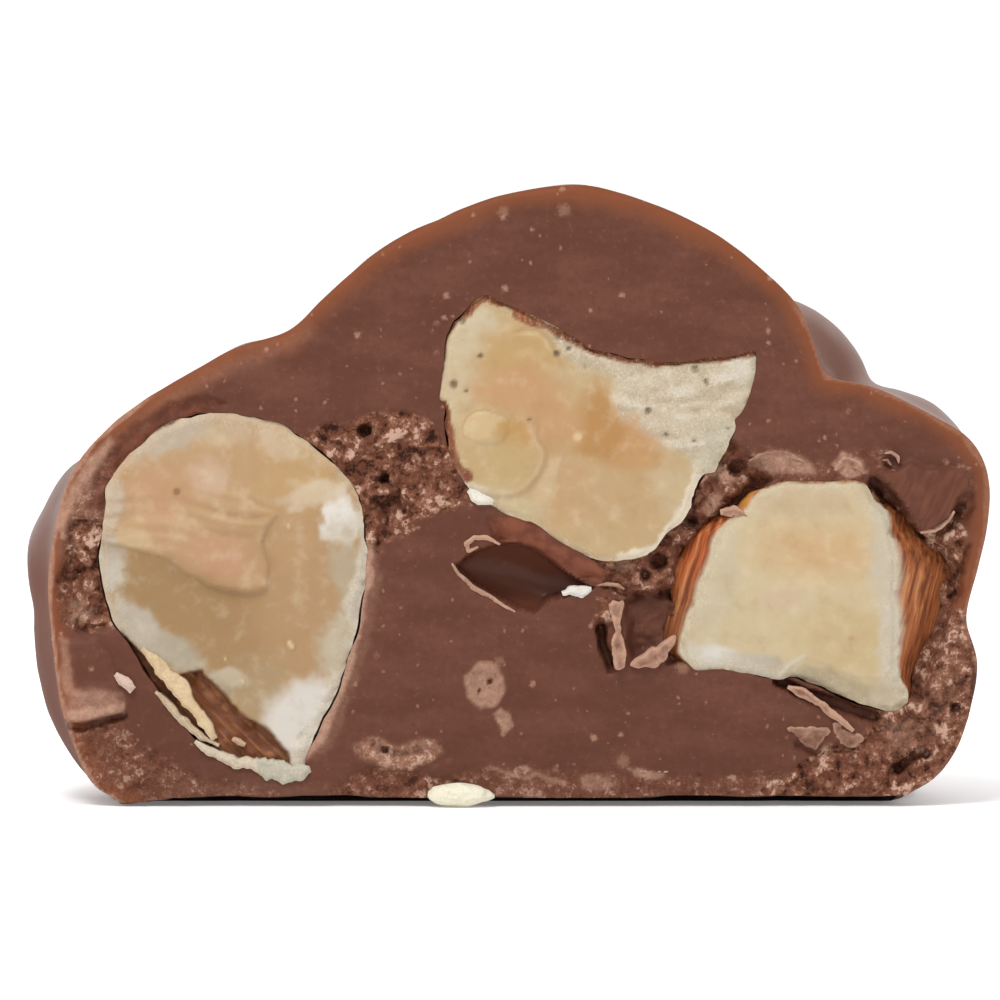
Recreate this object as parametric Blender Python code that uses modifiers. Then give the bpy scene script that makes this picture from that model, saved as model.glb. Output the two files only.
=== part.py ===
"""A milk chocolate and almond cluster cut in half, standing on its flat base with the cut face forwards.

Metres, +Z up. The cut faces -Y and was made with one stroke of a knife, which broke the chocolate
where air bubbles and nuts weakened it. Three chopped almonds and one crumb of almond show in it.
While it is modelled the cut lies at y = 0 and the body behind it; the last step centres the whole.
"""

import math

import bmesh
import bpy
from mathutils import Euler, Matrix, Vector, noise

MM = 0.001

# Driving sizes
GAP = 0.35 * MM  # air left round each almond in its pocket
OVERRUN = 4.0 * MM  # how far every form reaches in front of the cut before it is cut
BODY_CELL = 0.55 * MM  # fineness of the poured body
CUT_CELL = 0.82 * MM  # fineness of the cut face
POUR_PASSES = 14  # smoothing passes that run the lumps into one poured skin
BODY_KEEP = 0.11  # share of the smooth skin's faces that is kept
BASE_LIFT = 0.35 * MM  # how far the cut's lower edge is chipped up off the table
BASE_CHIP = 1.5 * MM  # how far back that chip runs

# The outline of the cut in mm, across and up
SECTION = [
    (-17.2, -3.0), (-17.4, 0.0), (-18.9, 0.8), (-19.9, 2.8), (-20.6, 5.6), (-21.0, 9.3),
    (-20.8, 12.2), (-20.2, 14.8), (-18.9, 16.8), (-16.4, 18.8), (-12.4, 21.1), (-10.2, 21.6),
    (-8.4, 23.3), (-6.0, 25.4), (-3.0, 27.0), (0.0, 28.1), (3.1, 28.5), (6.3, 27.8),
    (9.7, 26.2), (12.7, 23.7), (13.9, 21.8), (14.6, 19.7), (16.2, 19.5), (18.7, 18.4),
    (20.9, 17.1), (22.0, 15.5), (22.0, 12.7), (21.5, 9.6), (21.3, 8.6), (21.8, 7.0),
    (21.5, 4.9), (20.7, 2.6), (19.6, 1.2), (17.6, 0.0), (17.4, -3.0),
]
SECTION_DEPTH = 2.2 * MM  # the section runs this far back before the lumps take over

# Lumps of the poured cluster behind the cut: centre and half sizes in mm, turn about X, Y, Z in degrees
LUMPS = {
    "foot": ((0.3, 7.2, 1.4), (19.4, 13.4, 4.6), (0, 0, 0)),
    "dome": ((3.0, 4.0, 15.2), (12.2, 9.4, 12.6), (0, 0, 0)),
    "dome_back": ((1.5, 11.5, 13.0), (10.4, 7.6, 10.6), (12, 0, 0)),
    "left_side": ((-12.6, 4.6, 9.2), (9.1, 8.8, 10.9), (0, 22, 0)),
    "left_bulge": ((-15.8, 4.6, 10.4), (6.5, 6.6, 5.8), (0, 0, 0)),
    "left_cheek": ((-15.4, 4.4, 13.6), (5.2, 5.4, 4.0), (0, 0, 0)),
    "right_side": ((14.6, 5.0, 9.6), (7.4, 8.4, 8.8), (0, -14, 0)),
    "right_bulge": ((15.8, 4.4, 8.6), (6.3, 6.2, 6.4), (0, 0, 0)),
    "right_cheek": ((17.0, 4.0, 14.0), (5.2, 5.6, 5.2), (0, 0, 0)),
    "right_shoulder": ((11.5, 6.4, 18.0), (5.6, 5.2, 5.5), (0, 0, 0)),
    "back_left_almond": ((-9.6, 13.6, 8.4), (9.8, 6.2, 5.4), (0, 24, 28)),
    "back_right_almond": ((9.4, 13.8, 7.0), (10.2, 5.8, 5.2), (0, -18, -30)),
    "back_low_almond": ((-0.6, 17.6, 5.2), (9.4, 5.2, 4.4), (0, 8, 4)),
    "top_back_almond": ((-3.2, 9.2, 19.0), (8.8, 5.0, 4.6), (0, -26, 24)),
}

# Outlines of the chopped almonds in the cut, in mm, and which of their points are sharp corners
LEFT_NUT = [
    (-14.5, 18.0), (-12.4, 18.1), (-10.6, 17.7), (-9.0, 16.8), (-7.7, 15.4), (-6.9, 13.7),
    (-6.5, 11.4), (-6.6, 9.1), (-7.1, 7.0), (-7.9, 4.9), (-9.3, 1.6), (-11.2, 1.9),
    (-13.4, 3.0), (-15.2, 4.7), (-16.6, 6.6), (-17.9, 8.8), (-18.5, 11.4), (-18.3, 14.1),
    (-17.2, 16.4),
]
CENTRE_NUT = [
    (-2.2, 22.8), (-1.0, 23.3), (0.8, 22.5), (3.6, 21.4), (6.9, 20.7), (9.6, 20.7),
    (11.3, 21.1), (11.2, 18.9), (10.3, 16.9), (9.4, 15.1), (8.5, 14.3), (8.2, 13.2),
    (6.8, 12.0), (5.2, 11.4), (3.1, 11.9), (1.4, 13.1), (-0.8, 13.9), (-2.0, 15.4),
    (-2.8, 17.5), (-3.0, 19.4), (-2.8, 21.2),
]
RIGHT_NUT = [
    (12.3, 14.8), (14.2, 15.0), (16.4, 14.8), (17.6, 12.9), (17.9, 10.7), (17.9, 7.2),
    (18.5, 4.7), (17.4, 4.4), (15.5, 5.0), (12.4, 5.9), (9.5, 6.3), (8.2, 6.8),
    (8.3, 8.4), (9.1, 11.0), (10.1, 13.1),
]

# Each almond behind the cut, in mm: how deep it is, and how it widens and drifts across just behind it
ALMONDS = {
    "almond_left": dict(outline=LEFT_NUT, corners=(10,), depth=7.6, flare=0.04, drift=0.2),
    "almond_centre": dict(outline=CENTRE_NUT, corners=(1, 6), depth=6.2, flare=0.0, drift=0.0),
    "almond_right": dict(outline=RIGHT_NUT, corners=(2, 6, 11), depth=6.2, flare=0.28, drift=0.6),
}
FLARE_DEPTH = 2.2 * MM  # the widening is complete this far behind the cut
ALMOND_STATIONS = (0.0, 0.17, 0.35, 0.6, 0.85, 1.0)

# The crumb of almond pressed into the base's front edge, in mm
CRUMB_CENTRE = (-2.1, -0.2, 0.56)
CRUMB_HALF = (1.5, 0.75, 0.56)

# Places where the knife broke the chocolate, in mm: centre, half sizes, depth broken away, roughness
BROKEN = {
    "between_almonds": ((-5.5, 15.2), (2.4, 2.9), 0.45, 0.55),
    "left_edge": ((-19.4, 10.2), (1.5, 2.4), 0.55, 0.55),
    "left_foot": ((-17.8, 2.4), (2.2, 1.9), 0.50, 0.45),
    "right_wall": ((20.4, 8.2), (2.3, 5.0), 1.60, 0.55),
    "right_nut_skin": ((19.1, 9.6), (1.1, 3.9), 0.90, 0.10),
    "right_foot": ((18.0, 2.4), (3.6, 2.4), 0.75, 0.60),
    "under_right_nut": ((14.6, 1.8), (3.0, 1.5), 0.35, 0.45),
    "pit_by_cavity": ((6.7, 8.9), (1.4, 2.2), 1.15, 0.35),
    "right_nut_side": ((8.6, 11.0), (1.2, 3.4), 1.00, 0.30),
    "above_pit": ((7.0, 11.0), (2.3, 0.9), 0.35, 0.40),
    "between_nuts_right": ((9.7, 14.3), (0.9, 1.5), 0.80, 0.55),
    "lower_left_band": ((-4.8, 2.0), (2.3, 0.9), 0.20, 0.35),
    "lower_band": ((6.6, 0.8), (9.0, 0.7), 0.12, 0.35),
    "left_ledge": ((-18.6, 6.2), (1.5, 2.3), -0.45, 0.08),
    "left_nut_shreds": ((-14.0, 2.9), (3.2, 0.5), -0.20, 0.30),
}
CRUMBLE_SIZE = 1.5 * MM  # size of the crumbs in a broken place
RAGGED_SIZE = 1.9 * MM  # wander of a broken place's edge
EDGE_SOFTNESS = 0.22  # how soon a broken place reaches its depth, as a share of its half size
SMEAR = 0.05 * MM  # unevenness left by the knife elsewhere

# The hollow under the centre almond, in mm: an air pocket with smooth walls
HOLLOW_CENTRE = (0.9, 0.0, 10.4)
HOLLOW_HALF = (3.5, 2.5, 1.55)
HOLLOW_TILT = 14

# Air bubbles that the knife opened, in mm: place in the cut and half sizes
BUBBLES = {
    "bubble_high": ((-6.6, 17.3), (0.42, 0.42)),
    "bubble_middle": ((-5.5, 15.2), (0.38, 0.38)),
    "bubble_wide": ((-5.2, 13.5), (0.85, 0.70)),
    "bubble_right_wall": ((20.6, 4.7), (0.34, 0.40)),
    "bubble_right_foot": ((18.4, 2.4), (0.85, 0.36)),
}

MILK_CHOCOLATE = (0.165, 0.072, 0.048, 1.0)
ALMOND_FLESH = (0.62, 0.44, 0.25, 1.0)


def clear_scene():
    for obj in list(bpy.data.objects):
        bpy.data.objects.remove(obj, do_unlink=True)


def collection(name):
    made = bpy.data.collections.new(name)
    bpy.context.scene.collection.children.link(made)
    return made


def material(name, colour, roughness):
    made = bpy.data.materials.new(name)
    made.use_nodes = True
    shader = made.node_tree.nodes["Principled BSDF"]
    shader.inputs["Base Color"].default_value = colour
    shader.inputs["Roughness"].default_value = roughness
    shader.inputs["Metallic"].default_value = 0.0
    return made


def to_metres(sizes):
    return Vector([size * MM for size in sizes])


def object_from_bmesh(name, bm, home):
    bmesh.ops.recalc_face_normals(bm, faces=bm.faces)
    mesh = bpy.data.meshes.new(name)
    bm.to_mesh(mesh)
    bm.free()
    obj = bpy.data.objects.new(name, mesh)
    home.objects.link(obj)
    return obj


def cutter_from_bmesh(name, bm, home):
    obj = object_from_bmesh(name, bm, home)
    obj.hide_render = True
    obj.display_type = "WIRE"
    return obj


def cut_away(obj, cutter):
    modifier = obj.modifiers.new(f"less_{cutter.name}", "BOOLEAN")
    modifier.operation = "DIFFERENCE"
    modifier.solver = "EXACT"
    modifier.object = cutter


def smooth_outline(points, corners, steps):
    """Points along a smooth closed curve through the given ones, in metres; corners stay sharp."""
    count = len(points)
    places = [to_metres(point) for point in points]
    slopes = []
    for index in range(count):
        slope = (places[(index + 1) % count] - places[index - 1]) / 2.0
        slopes.append(slope * (0.0 if index in corners else 1.0))
    curve = []
    for index in range(count):
        after = (index + 1) % count
        for step in range(steps):
            t = step / steps
            t2, t3 = t * t, t * t * t
            start = places[index] * (2 * t3 - 3 * t2 + 1) + slopes[index] * (t3 - 2 * t2 + t)
            end = places[after] * (3 * t2 - 2 * t3) + slopes[after] * (t3 - t2)
            curve.append(start + end)
    return curve


def loft(name, rings, home):
    """A closed solid through rings of the same number of points, with a flat face at each end."""
    bm = bmesh.new()
    rows = [[bm.verts.new(point) for point in ring] for ring in rings]
    bm.faces.new(rows[0])
    bm.faces.new(rows[-1])
    count = len(rows[0])
    for near, far in zip(rows, rows[1:]):
        for index in range(count):
            after = (index + 1) % count
            bm.faces.new((near[index], near[after], far[after], far[index]))
    return object_from_bmesh(name, bm, home)


def ball(bm, centre, half, turn, segments, rings):
    """An ellipsoid; centre and half sizes in mm, turn about X, Y and Z in degrees."""
    place = Matrix.Translation(to_metres(centre))
    tilt = Euler([math.radians(angle) for angle in turn]).to_matrix().to_4x4()
    form = place @ tilt @ Matrix.Diagonal((*to_metres(half), 1.0))
    bmesh.ops.create_uvsphere(bm, u_segments=segments, v_segments=rings, radius=1.0, matrix=form)


def poured_body(home):
    """The whole skin: the lumps and the cut's outline, run together as chocolate runs when poured."""
    outline = smooth_outline(SECTION, (), 4)
    ends = (-OVERRUN, SECTION_DEPTH)
    body = loft("chocolate", [[Vector((p.x, y, p.y)) for p in outline] for y in ends], home)
    bm = bmesh.new()
    bm.from_mesh(body.data)
    for centre, half, turn in LUMPS.values():
        ball(bm, centre, half, turn, 40, 24)
    bm.to_mesh(body.data)
    bm.free()
    remesh = body.modifiers.new("one_skin", "REMESH")
    remesh.mode = "VOXEL"
    remesh.voxel_size = BODY_CELL
    pour = body.modifiers.new("poured", "SMOOTH")
    pour.factor = 0.5
    pour.iterations = POUR_PASSES
    thin = body.modifiers.new("fewer_faces", "DECIMATE")
    thin.ratio = BODY_KEEP
    return body


def smooth_step(value):
    value = min(1.0, max(0.0, value))
    return value * value * (3.0 - 2.0 * value)


def inside(x, z, centre, half, wander=0.0):
    """1 well inside an oval place of the cut, 0 well outside it, with a soft edge that wanders."""
    across = (x / MM - centre[0]) / half[0]
    up = (z / MM - centre[1]) / half[1]
    reach = math.hypot(across, up) + wander
    return smooth_step((1.0 + EDGE_SOFTNESS - reach) / (2.0 * EDGE_SOFTNESS))


def uneven(x, z, seed, size):
    """Smooth unevenness from about -1 to 1."""
    return noise.noise(Vector((x / size, seed, z / size)))


def crumbs(x, z, seed):
    """Crumbly relief from 0 to about 1: a patchwork of cells, each its own height."""
    distances, points = noise.voronoi(Vector((x / CRUMBLE_SIZE, seed, z / CRUMBLE_SIZE)))
    return 0.5 + 0.5 * noise.noise(points[0] * 3.7) - 0.5 * min(1.0, distances[0])


def chocolate_face(x, z):
    """How far behind y = 0 the cut face of the chocolate lies."""
    wander = 0.28 * uneven(x, z, 3.0, RAGGED_SIZE)
    depth = SMEAR * uneven(x, 2.0 * z, 9.0, 6 * MM)
    for seed, (centre, half, away, rough) in enumerate(BROKEN.values()):
        weight = inside(x, z, centre, half, wander)
        if weight > 0.0:
            depth += weight * MM * (away + rough * (crumbs(x, z, 5.0 + seed) - 0.25))
    if z < BASE_LIFT:
        depth += BASE_CHIP
    return depth


def left_nut_face(x, z):
    """A raised flap above, a hollowed facet below it and a broken lower rim."""
    flap = inside(x, z, (-14.3, 12.4), (4.4, 3.0), 0.1 * uneven(x, z, 1.0, 2 * MM))
    facet = inside(x, z, (-11.2, 8.2), (4.2, 5.6))
    rim = inside(x, z, (-13.6, 3.4), (3.0, 1.3), 0.15 * uneven(x, z, 2.0, MM))
    grain = 0.06 * uneven(x, z, 4.0, 1.5 * MM)
    return MM * (0.45 * facet * (1.0 - flap) - 0.12 * flap + 1.1 * rim + grain)


def centre_nut_face(x, z):
    """A shell-shaped chip at the left and a dished middle."""
    chip = inside(x, z, (-0.6, 17.0), (2.2, 2.6), 0.05)
    dish = inside(x, z, (3.4, 16.6), (2.4, 3.0), 0.05)
    return MM * (0.30 * dish - 0.15 * chip + 0.07 * uneven(x, z, 6.0, 1.3 * MM))


def right_nut_face(x, z):
    """Nearly flat, with its lower edge rounded off."""
    lower = inside(x, z, (15.6, 4.0), (3.2, 1.5))
    return MM * (0.55 * lower - 0.10 + 0.05 * uneven(x, z, 8.0, 2.2 * MM))


def knife(name, depth_at, home):
    """A cutter that takes away everything in front of the surface y = depth_at(x, z)."""
    left, right, low, high = -25.2 * MM, 25.2 * MM, -3.64 * MM, 31.27 * MM
    columns = round((right - left) / CUT_CELL)
    rows = round((high - low) / CUT_CELL)
    bm = bmesh.new()
    sheet = []
    for row in range(rows + 1):
        z = low + (high - low) * row / rows
        line = []
        for column in range(columns + 1):
            x = left + (right - left) * column / columns
            line.append(bm.verts.new((x, depth_at(x, z), z)))
        sheet.append(line)
    for lower, upper in zip(sheet, sheet[1:]):
        for column in range(columns):
            bm.faces.new((lower[column], lower[column + 1], upper[column + 1], upper[column]))
    border = sheet[0][:-1] + [line[-1] for line in sheet[:-1]]
    border += sheet[-1][:0:-1] + [line[0] for line in sheet[:0:-1]]
    front = [bm.verts.new((vertex.co.x, -2 * OVERRUN, vertex.co.z)) for vertex in border]
    for index in range(len(border)):
        after = (index + 1) % len(border)
        bm.faces.new((border[index], border[after], front[after], front[index]))
    bm.faces.new(front)
    return cutter_from_bmesh(name, bm, home)


def table_cutter(home):
    """Everything below z = 0."""
    bm = bmesh.new()
    size = 80 * MM
    below = Matrix.Translation((0, 0, -size / 2))
    bmesh.ops.create_cube(bm, size=size, matrix=below)
    return cutter_from_bmesh("table_cutter", bm, home)


def ball_cutter(name, centre, half, turn, segments, rings, home):
    bm = bmesh.new()
    ball(bm, centre, half, turn, segments, rings)
    return cutter_from_bmesh(name, bm, home)


def almond_form(name, almond, grow, home):
    """A chopped almond from in front of the cut back to its rounded far end, grown all round."""
    outline = smooth_outline(almond["outline"], almond["corners"], 2)
    middle = sum(outline, Vector((0, 0))) / len(outline)
    spokes = [point - middle for point in outline]
    spokes = [spoke * (1.0 + grow / spoke.length) for spoke in spokes]
    rings = [[Vector((middle.x + s.x, -OVERRUN, middle.y + s.y)) for s in spokes]]
    for station in ALMOND_STATIONS:
        y = station * (almond["depth"] * MM + grow)
        flared = smooth_step(y / FLARE_DEPTH)
        tall = math.sqrt(1.0 - (0.93 * station) ** 2)
        wide = tall * (1.0 + almond["flare"] * flared)
        x = middle.x + almond["drift"] * MM * flared
        rings.append([Vector((x + s.x * wide, y, middle.y + s.y * tall)) for s in spokes])
    return loft(name, rings, home)


def centre_on_base(objects, helpers):
    """Moves everything so the whole stands centred on the origin."""
    bpy.context.view_layer.update()
    graph = bpy.context.evaluated_depsgraph_get()
    corners = []
    for obj in objects:
        mesh = obj.evaluated_get(graph).to_mesh()
        corners += [vertex.co.copy() for vertex in mesh.vertices]
    low = Vector([min(corner[axis] for corner in corners) for axis in range(3)])
    high = Vector([max(corner[axis] for corner in corners) for axis in range(3)])
    middle = (low + high) / 2.0
    move = Matrix.Translation((-middle.x, -middle.y, -low.z))
    for obj in (*objects, *helpers):
        obj.matrix_world = move @ obj.matrix_world


def build():
    clear_scene()
    home = collection("almond_cluster")
    cutters = collection("cutters")
    chocolate_material = material("milk_chocolate", MILK_CHOCOLATE, 0.55)
    almond_material = material("almond", ALMOND_FLESH, 0.6)

    chocolate = poured_body(home)
    cut_away(chocolate, table_cutter(cutters))
    cut_away(chocolate, knife("chocolate_knife", chocolate_face, cutters))
    faces = {
        "almond_left": left_nut_face,
        "almond_centre": centre_nut_face,
        "almond_right": right_nut_face,
    }
    nodes = [chocolate]
    for name, almond in ALMONDS.items():
        pocket = almond_form(f"{name}_pocket", almond, GAP, cutters)
        pocket.hide_render = True
        pocket.display_type = "WIRE"
        cut_away(chocolate, pocket)
        nut = almond_form(name, almond, 0.0, home)
        cut_away(nut, knife(f"{name}_knife", faces[name], cutters))
        nodes.append(nut)
    tilt = (0, HOLLOW_TILT, 0)
    hollow = ball_cutter("hollow_cutter", HOLLOW_CENTRE, HOLLOW_HALF, tilt, 24, 14, cutters)
    cut_away(chocolate, hollow)
    for name, (place, half) in BUBBLES.items():
        x, z = place
        y = chocolate_face(x * MM, z * MM) / MM + 0.1
        deep = (half[0], max(half), half[1])
        cut_away(chocolate, ball_cutter(name, (x, y, z), deep, (0, 0, 0), 12, 8, cutters))
    notch = [size + GAP / MM for size in CRUMB_HALF]
    cut_away(chocolate, ball_cutter("crumb_notch", CRUMB_CENTRE, notch, (0, 0, 0), 16, 10, cutters))
    bm = bmesh.new()
    ball(bm, CRUMB_CENTRE, CRUMB_HALF, (0, 0, 0), 16, 10)
    nodes.append(object_from_bmesh("almond_crumb", bm, home))

    for node in nodes:
        node.data.materials.append(chocolate_material if node is chocolate else almond_material)
    centre_on_base(nodes, list(cutters.objects))


build()
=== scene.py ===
"""The looks of a milk chocolate almond cluster that was cut in half.

The chocolate and its almonds are modelled again, finely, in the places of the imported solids. Modelling
is in millimetres, with the cut at y = 0 and the base at z = 0; a finished piece is then moved onto its
solid and scaled to metres. The knife's marks, the crumbled places, the air bubbles and the flakes are
relief in the meshes, and each place's outline also guides the colours there.
"""

import math

import bpy
import numpy as np
from mathutils import Matrix, Vector


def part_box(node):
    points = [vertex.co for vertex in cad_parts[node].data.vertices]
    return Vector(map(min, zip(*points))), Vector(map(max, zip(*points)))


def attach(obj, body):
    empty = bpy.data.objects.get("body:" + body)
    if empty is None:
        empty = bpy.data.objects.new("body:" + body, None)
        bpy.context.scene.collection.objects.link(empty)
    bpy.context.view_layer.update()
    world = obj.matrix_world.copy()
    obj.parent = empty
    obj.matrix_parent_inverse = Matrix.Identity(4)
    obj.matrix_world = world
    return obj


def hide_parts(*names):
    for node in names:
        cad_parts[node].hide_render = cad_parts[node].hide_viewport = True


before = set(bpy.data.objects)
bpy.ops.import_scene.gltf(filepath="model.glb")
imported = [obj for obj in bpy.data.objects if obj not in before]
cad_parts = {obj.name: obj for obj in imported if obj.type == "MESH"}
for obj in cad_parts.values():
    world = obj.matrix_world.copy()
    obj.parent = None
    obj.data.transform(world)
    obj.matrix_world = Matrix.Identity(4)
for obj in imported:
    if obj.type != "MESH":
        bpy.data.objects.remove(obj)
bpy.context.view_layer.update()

MM = 0.001
OVERRUN = 4.0  # how far forms reach in front of the cut before they are cut
CRUMB_CENTRE = Vector((-2.1, -0.2, 0.56))  # the crumb's middle in the modelling space
CRUMB_HALF = (1.5, 0.75, 0.56)  # its half sizes

# Fineness of the meshes in mm, and how the poured body is rounded
BODY_CELL = 0.36
CHOCOLATE_CELL = 0.11
ALMOND_CELL = 0.10
FLAKE_CELL = 0.06
LUMP_SEGMENTS, LUMP_RINGS = 56, 36
POUR_STEPS = 26  # how often the joined lumps are smoothed
SWELL_SIZE = 5.0
SWELL_HEIGHT = 0.35
SHARP_ANGLE = math.radians(60)  # edges sharper than this stay sharp

# What the knife's block covers: left, right, low and high of the whole cut, and margins round a piece
CUT_BOX = (-23.4, 23.4, -0.8, 29.4)
ALMOND_MARGINS = (2.0, 3.4, 0.8, 0.8)
FLAKE_MARGINS = (0.3, 0.3, 0.3, 0.3)
FLAKE_OVERRUN = 1.5

# The shader mix node's sockets for its weight, its two colours and its result
MIX_FACTOR, MIX_FIRST, MIX_SECOND, MIX_RESULT = 0, 6, 7, 2

# The cut's outline and the lumps behind it
SECTION = [
    (-17.2, -3.0), (-17.4, 0.0), (-18.9, 0.8), (-19.9, 2.8), (-20.6, 5.6), (-21.0, 9.3), (-20.8, 12.2),
    (-20.2, 14.8), (-18.9, 16.8), (-16.4, 18.8), (-12.4, 21.1), (-10.2, 21.6), (-8.4, 23.3), (-6.0, 25.4),
    (-3.0, 27.0), (0.0, 28.1), (3.1, 28.5), (6.3, 27.8), (9.7, 26.2), (12.7, 23.7), (13.9, 21.8),
    (14.6, 19.7), (16.2, 19.5), (18.7, 18.4), (20.9, 17.1), (22.0, 15.5), (22.0, 12.7), (21.3, 9.7),
    (20.95, 8.6), (21.6, 7.0), (21.5, 4.9), (20.7, 2.6), (19.6, 1.2), (17.6, 0.0), (17.4, -3.0),
]
SECTION_DEPTH = 2.2  # how far back the outline goes straight
LUMPS = {
    "foot": ((0.3, 7.2, 1.4), (19.4, 13.4, 4.6), (0, 0, 0)),
    "dome": ((3.0, 4.0, 15.2), (12.2, 9.4, 12.6), (0, 0, 0)),
    "dome_back": ((1.5, 11.5, 13.0), (10.4, 7.6, 10.6), (12, 0, 0)),
    "left_side": ((-12.6, 4.6, 9.2), (9.1, 8.8, 10.9), (0, 22, 0)),
    "left_bulge": ((-15.8, 4.6, 10.8), (6.5, 6.6, 5.3), (0, 0, 0)),
    "left_cheek": ((-15.4, 4.4, 13.2), (5.9, 5.4, 3.9), (0, 0, 0)),
    "right_side": ((14.6, 5.0, 9.6), (6.3, 8.4, 8.8), (0, -14, 0)),
    "right_bulge": ((15.3, 4.6, 8.6), (4.8, 6.0, 6.2), (0, 0, 0)),
    "right_cheek": ((17.0, 4.0, 14.0), (5.2, 5.6, 5.2), (0, 0, 0)),
    "right_shoulder": ((11.5, 6.4, 18.0), (5.6, 5.2, 5.5), (0, 0, 0)),
    "back_left_almond": ((-9.6, 13.6, 8.4), (9.8, 6.2, 5.4), (0, 24, 28)),
    "back_right_almond": ((9.4, 13.8, 7.0), (10.2, 5.8, 5.2), (0, -18, -30)),
    "back_low_almond": ((-0.6, 17.6, 5.2), (9.4, 5.2, 4.4), (0, 8, 4)),
    "top_back_almond": ((-3.2, 9.2, 19.0), (8.8, 5.0, 4.6), (0, -26, 24)),
}

# Outlines of the almonds in their pockets, and of the sound flesh of the left one
LEFT_NUT = [
    (-13.6, 18.1), (-12.1, 18.0), (-10.5, 17.6), (-9.3, 16.9), (-8.0, 15.9), (-7.0, 14.7), (-6.6, 13.5),
    (-6.5, 12.4), (-6.4, 10.8), (-6.7, 9.3), (-7.0, 7.8), (-7.3, 6.7), (-7.9, 5.1), (-8.5, 3.9),
    (-9.1, 2.6), (-9.4, 1.5), (-10.3, 1.3), (-11.4, 1.8), (-12.8, 2.3), (-14.2, 3.1), (-15.3, 4.4),
    (-16.3, 5.8), (-17.3, 7.4), (-18.1, 8.8), (-18.5, 10.2), (-18.7, 11.5), (-18.5, 13.0), (-18.4, 14.5),
    (-17.8, 15.5), (-16.9, 16.5), (-15.9, 17.4), (-14.7, 17.9),
]
LEFT_FLESH = [
    (-13.6, 18.4), (-10.5, 18.2), (-7.6, 16.4), (-6.1, 13.5), (-6.0, 10.8), (-6.8, 7.3), (-8.1, 4.0),
    (-9.1, 1.2), (-9.9, 1.3), (-10.1, 2.5), (-10.9, 3.4), (-11.7, 3.9), (-12.6, 4.6), (-13.3, 5.4),
    (-14.0, 6.2), (-14.7, 6.0), (-15.3, 5.9), (-16.2, 6.6), (-17.3, 7.5), (-18.8, 8.6), (-19.2, 12.0),
    (-18.6, 16.0), (-16.0, 18.2),
]
CENTRE_NUT = [
    (-1.0, 23.5), (-0.3, 23.15), (0.6, 22.8), (1.9, 22.2), (2.8, 21.7), (4.0, 21.0), (5.3, 20.7),
    (6.6, 20.45), (7.8, 20.4), (9.2, 20.6), (10.6, 20.75), (11.35, 20.95), (11.4, 20.3), (11.2, 19.2),
    (10.9, 18.3), (10.45, 17.8), (10.4, 17.2), (10.0, 16.3), (9.55, 15.4), (8.95, 15.25), (8.6, 14.6),
    (8.4, 13.8), (8.0, 13.1), (7.2, 12.4), (6.7, 11.7), (5.9, 11.35), (5.0, 11.3), (4.0, 11.35),
    (3.2, 11.8), (2.1, 12.4), (1.3, 13.0), (0.5, 13.3), (-0.8, 13.8), (-1.6, 14.4), (-2.0, 15.1),
    (-2.5, 15.9), (-2.8, 17.0), (-2.8, 18.2), (-3.1, 18.9), (-2.9, 20.1), (-2.8, 21.5), (-2.2, 22.5),
]
RIGHT_NUT = [
    (12.0, 14.7), (12.7, 15.0), (14.3, 14.95), (16.0, 15.0), (16.5, 14.7), (16.8, 14.1), (17.4, 13.5),
    (17.6, 12.3), (17.8, 11.5), (17.8, 10.5), (17.7, 9.6), (17.85, 8.7), (17.8, 7.3), (17.9, 6.1),
    (18.4, 5.0), (18.2, 4.6), (17.7, 4.4), (17.0, 4.5), (15.8, 4.8), (14.8, 5.3), (13.8, 5.75),
    (13.1, 5.95), (12.2, 5.8), (11.0, 6.1), (9.9, 6.3), (8.7, 6.3), (8.2, 6.8), (8.0, 7.5), (8.4, 8.7),
    (8.8, 9.9), (9.3, 11.1), (9.7, 12.4), (10.2, 13.1), (11.0, 13.8), (11.4, 14.4),
]
ALMOND_SIZES = {
    "almond_left": dict(outline=LEFT_NUT, depth=7.6),
    "almond_centre": dict(outline=CENTRE_NUT, depth=6.2),
    "almond_right": dict(outline=RIGHT_NUT, depth=6.2),
}
FLARE_DEPTH = 1.7  # how far behind the cut the right almond is widest
RIGHT_FLARE = {  # heights, and how much further out its skin reaches there
    "right": (
        (4.5, 5.2, 7.3, 9.0, 10.5, 11.2, 12.3, 13.5, 15.0),
        (0.0, 0.5, 1.9, 2.8, 3.2, 3.0, 2.0, 1.2, 0.0)),
    "left": (
        (6.3, 7.0, 8.7, 9.9, 11.1, 12.0, 13.1, 14.4, 15.0),
        (0.4, 0.9, 1.1, 1.3, 1.7, 1.4, 1.0, 0.6, 0.0)),
}
FAR_END = 0.93  # how nearly an almond closes at its far end
ALMOND_STATIONS = (0.0, 0.04, 0.08, 0.12, 0.17, 0.22, 0.28, 0.36, 0.48, 0.62, 0.76, 0.88, 0.95, 1.0)

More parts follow.
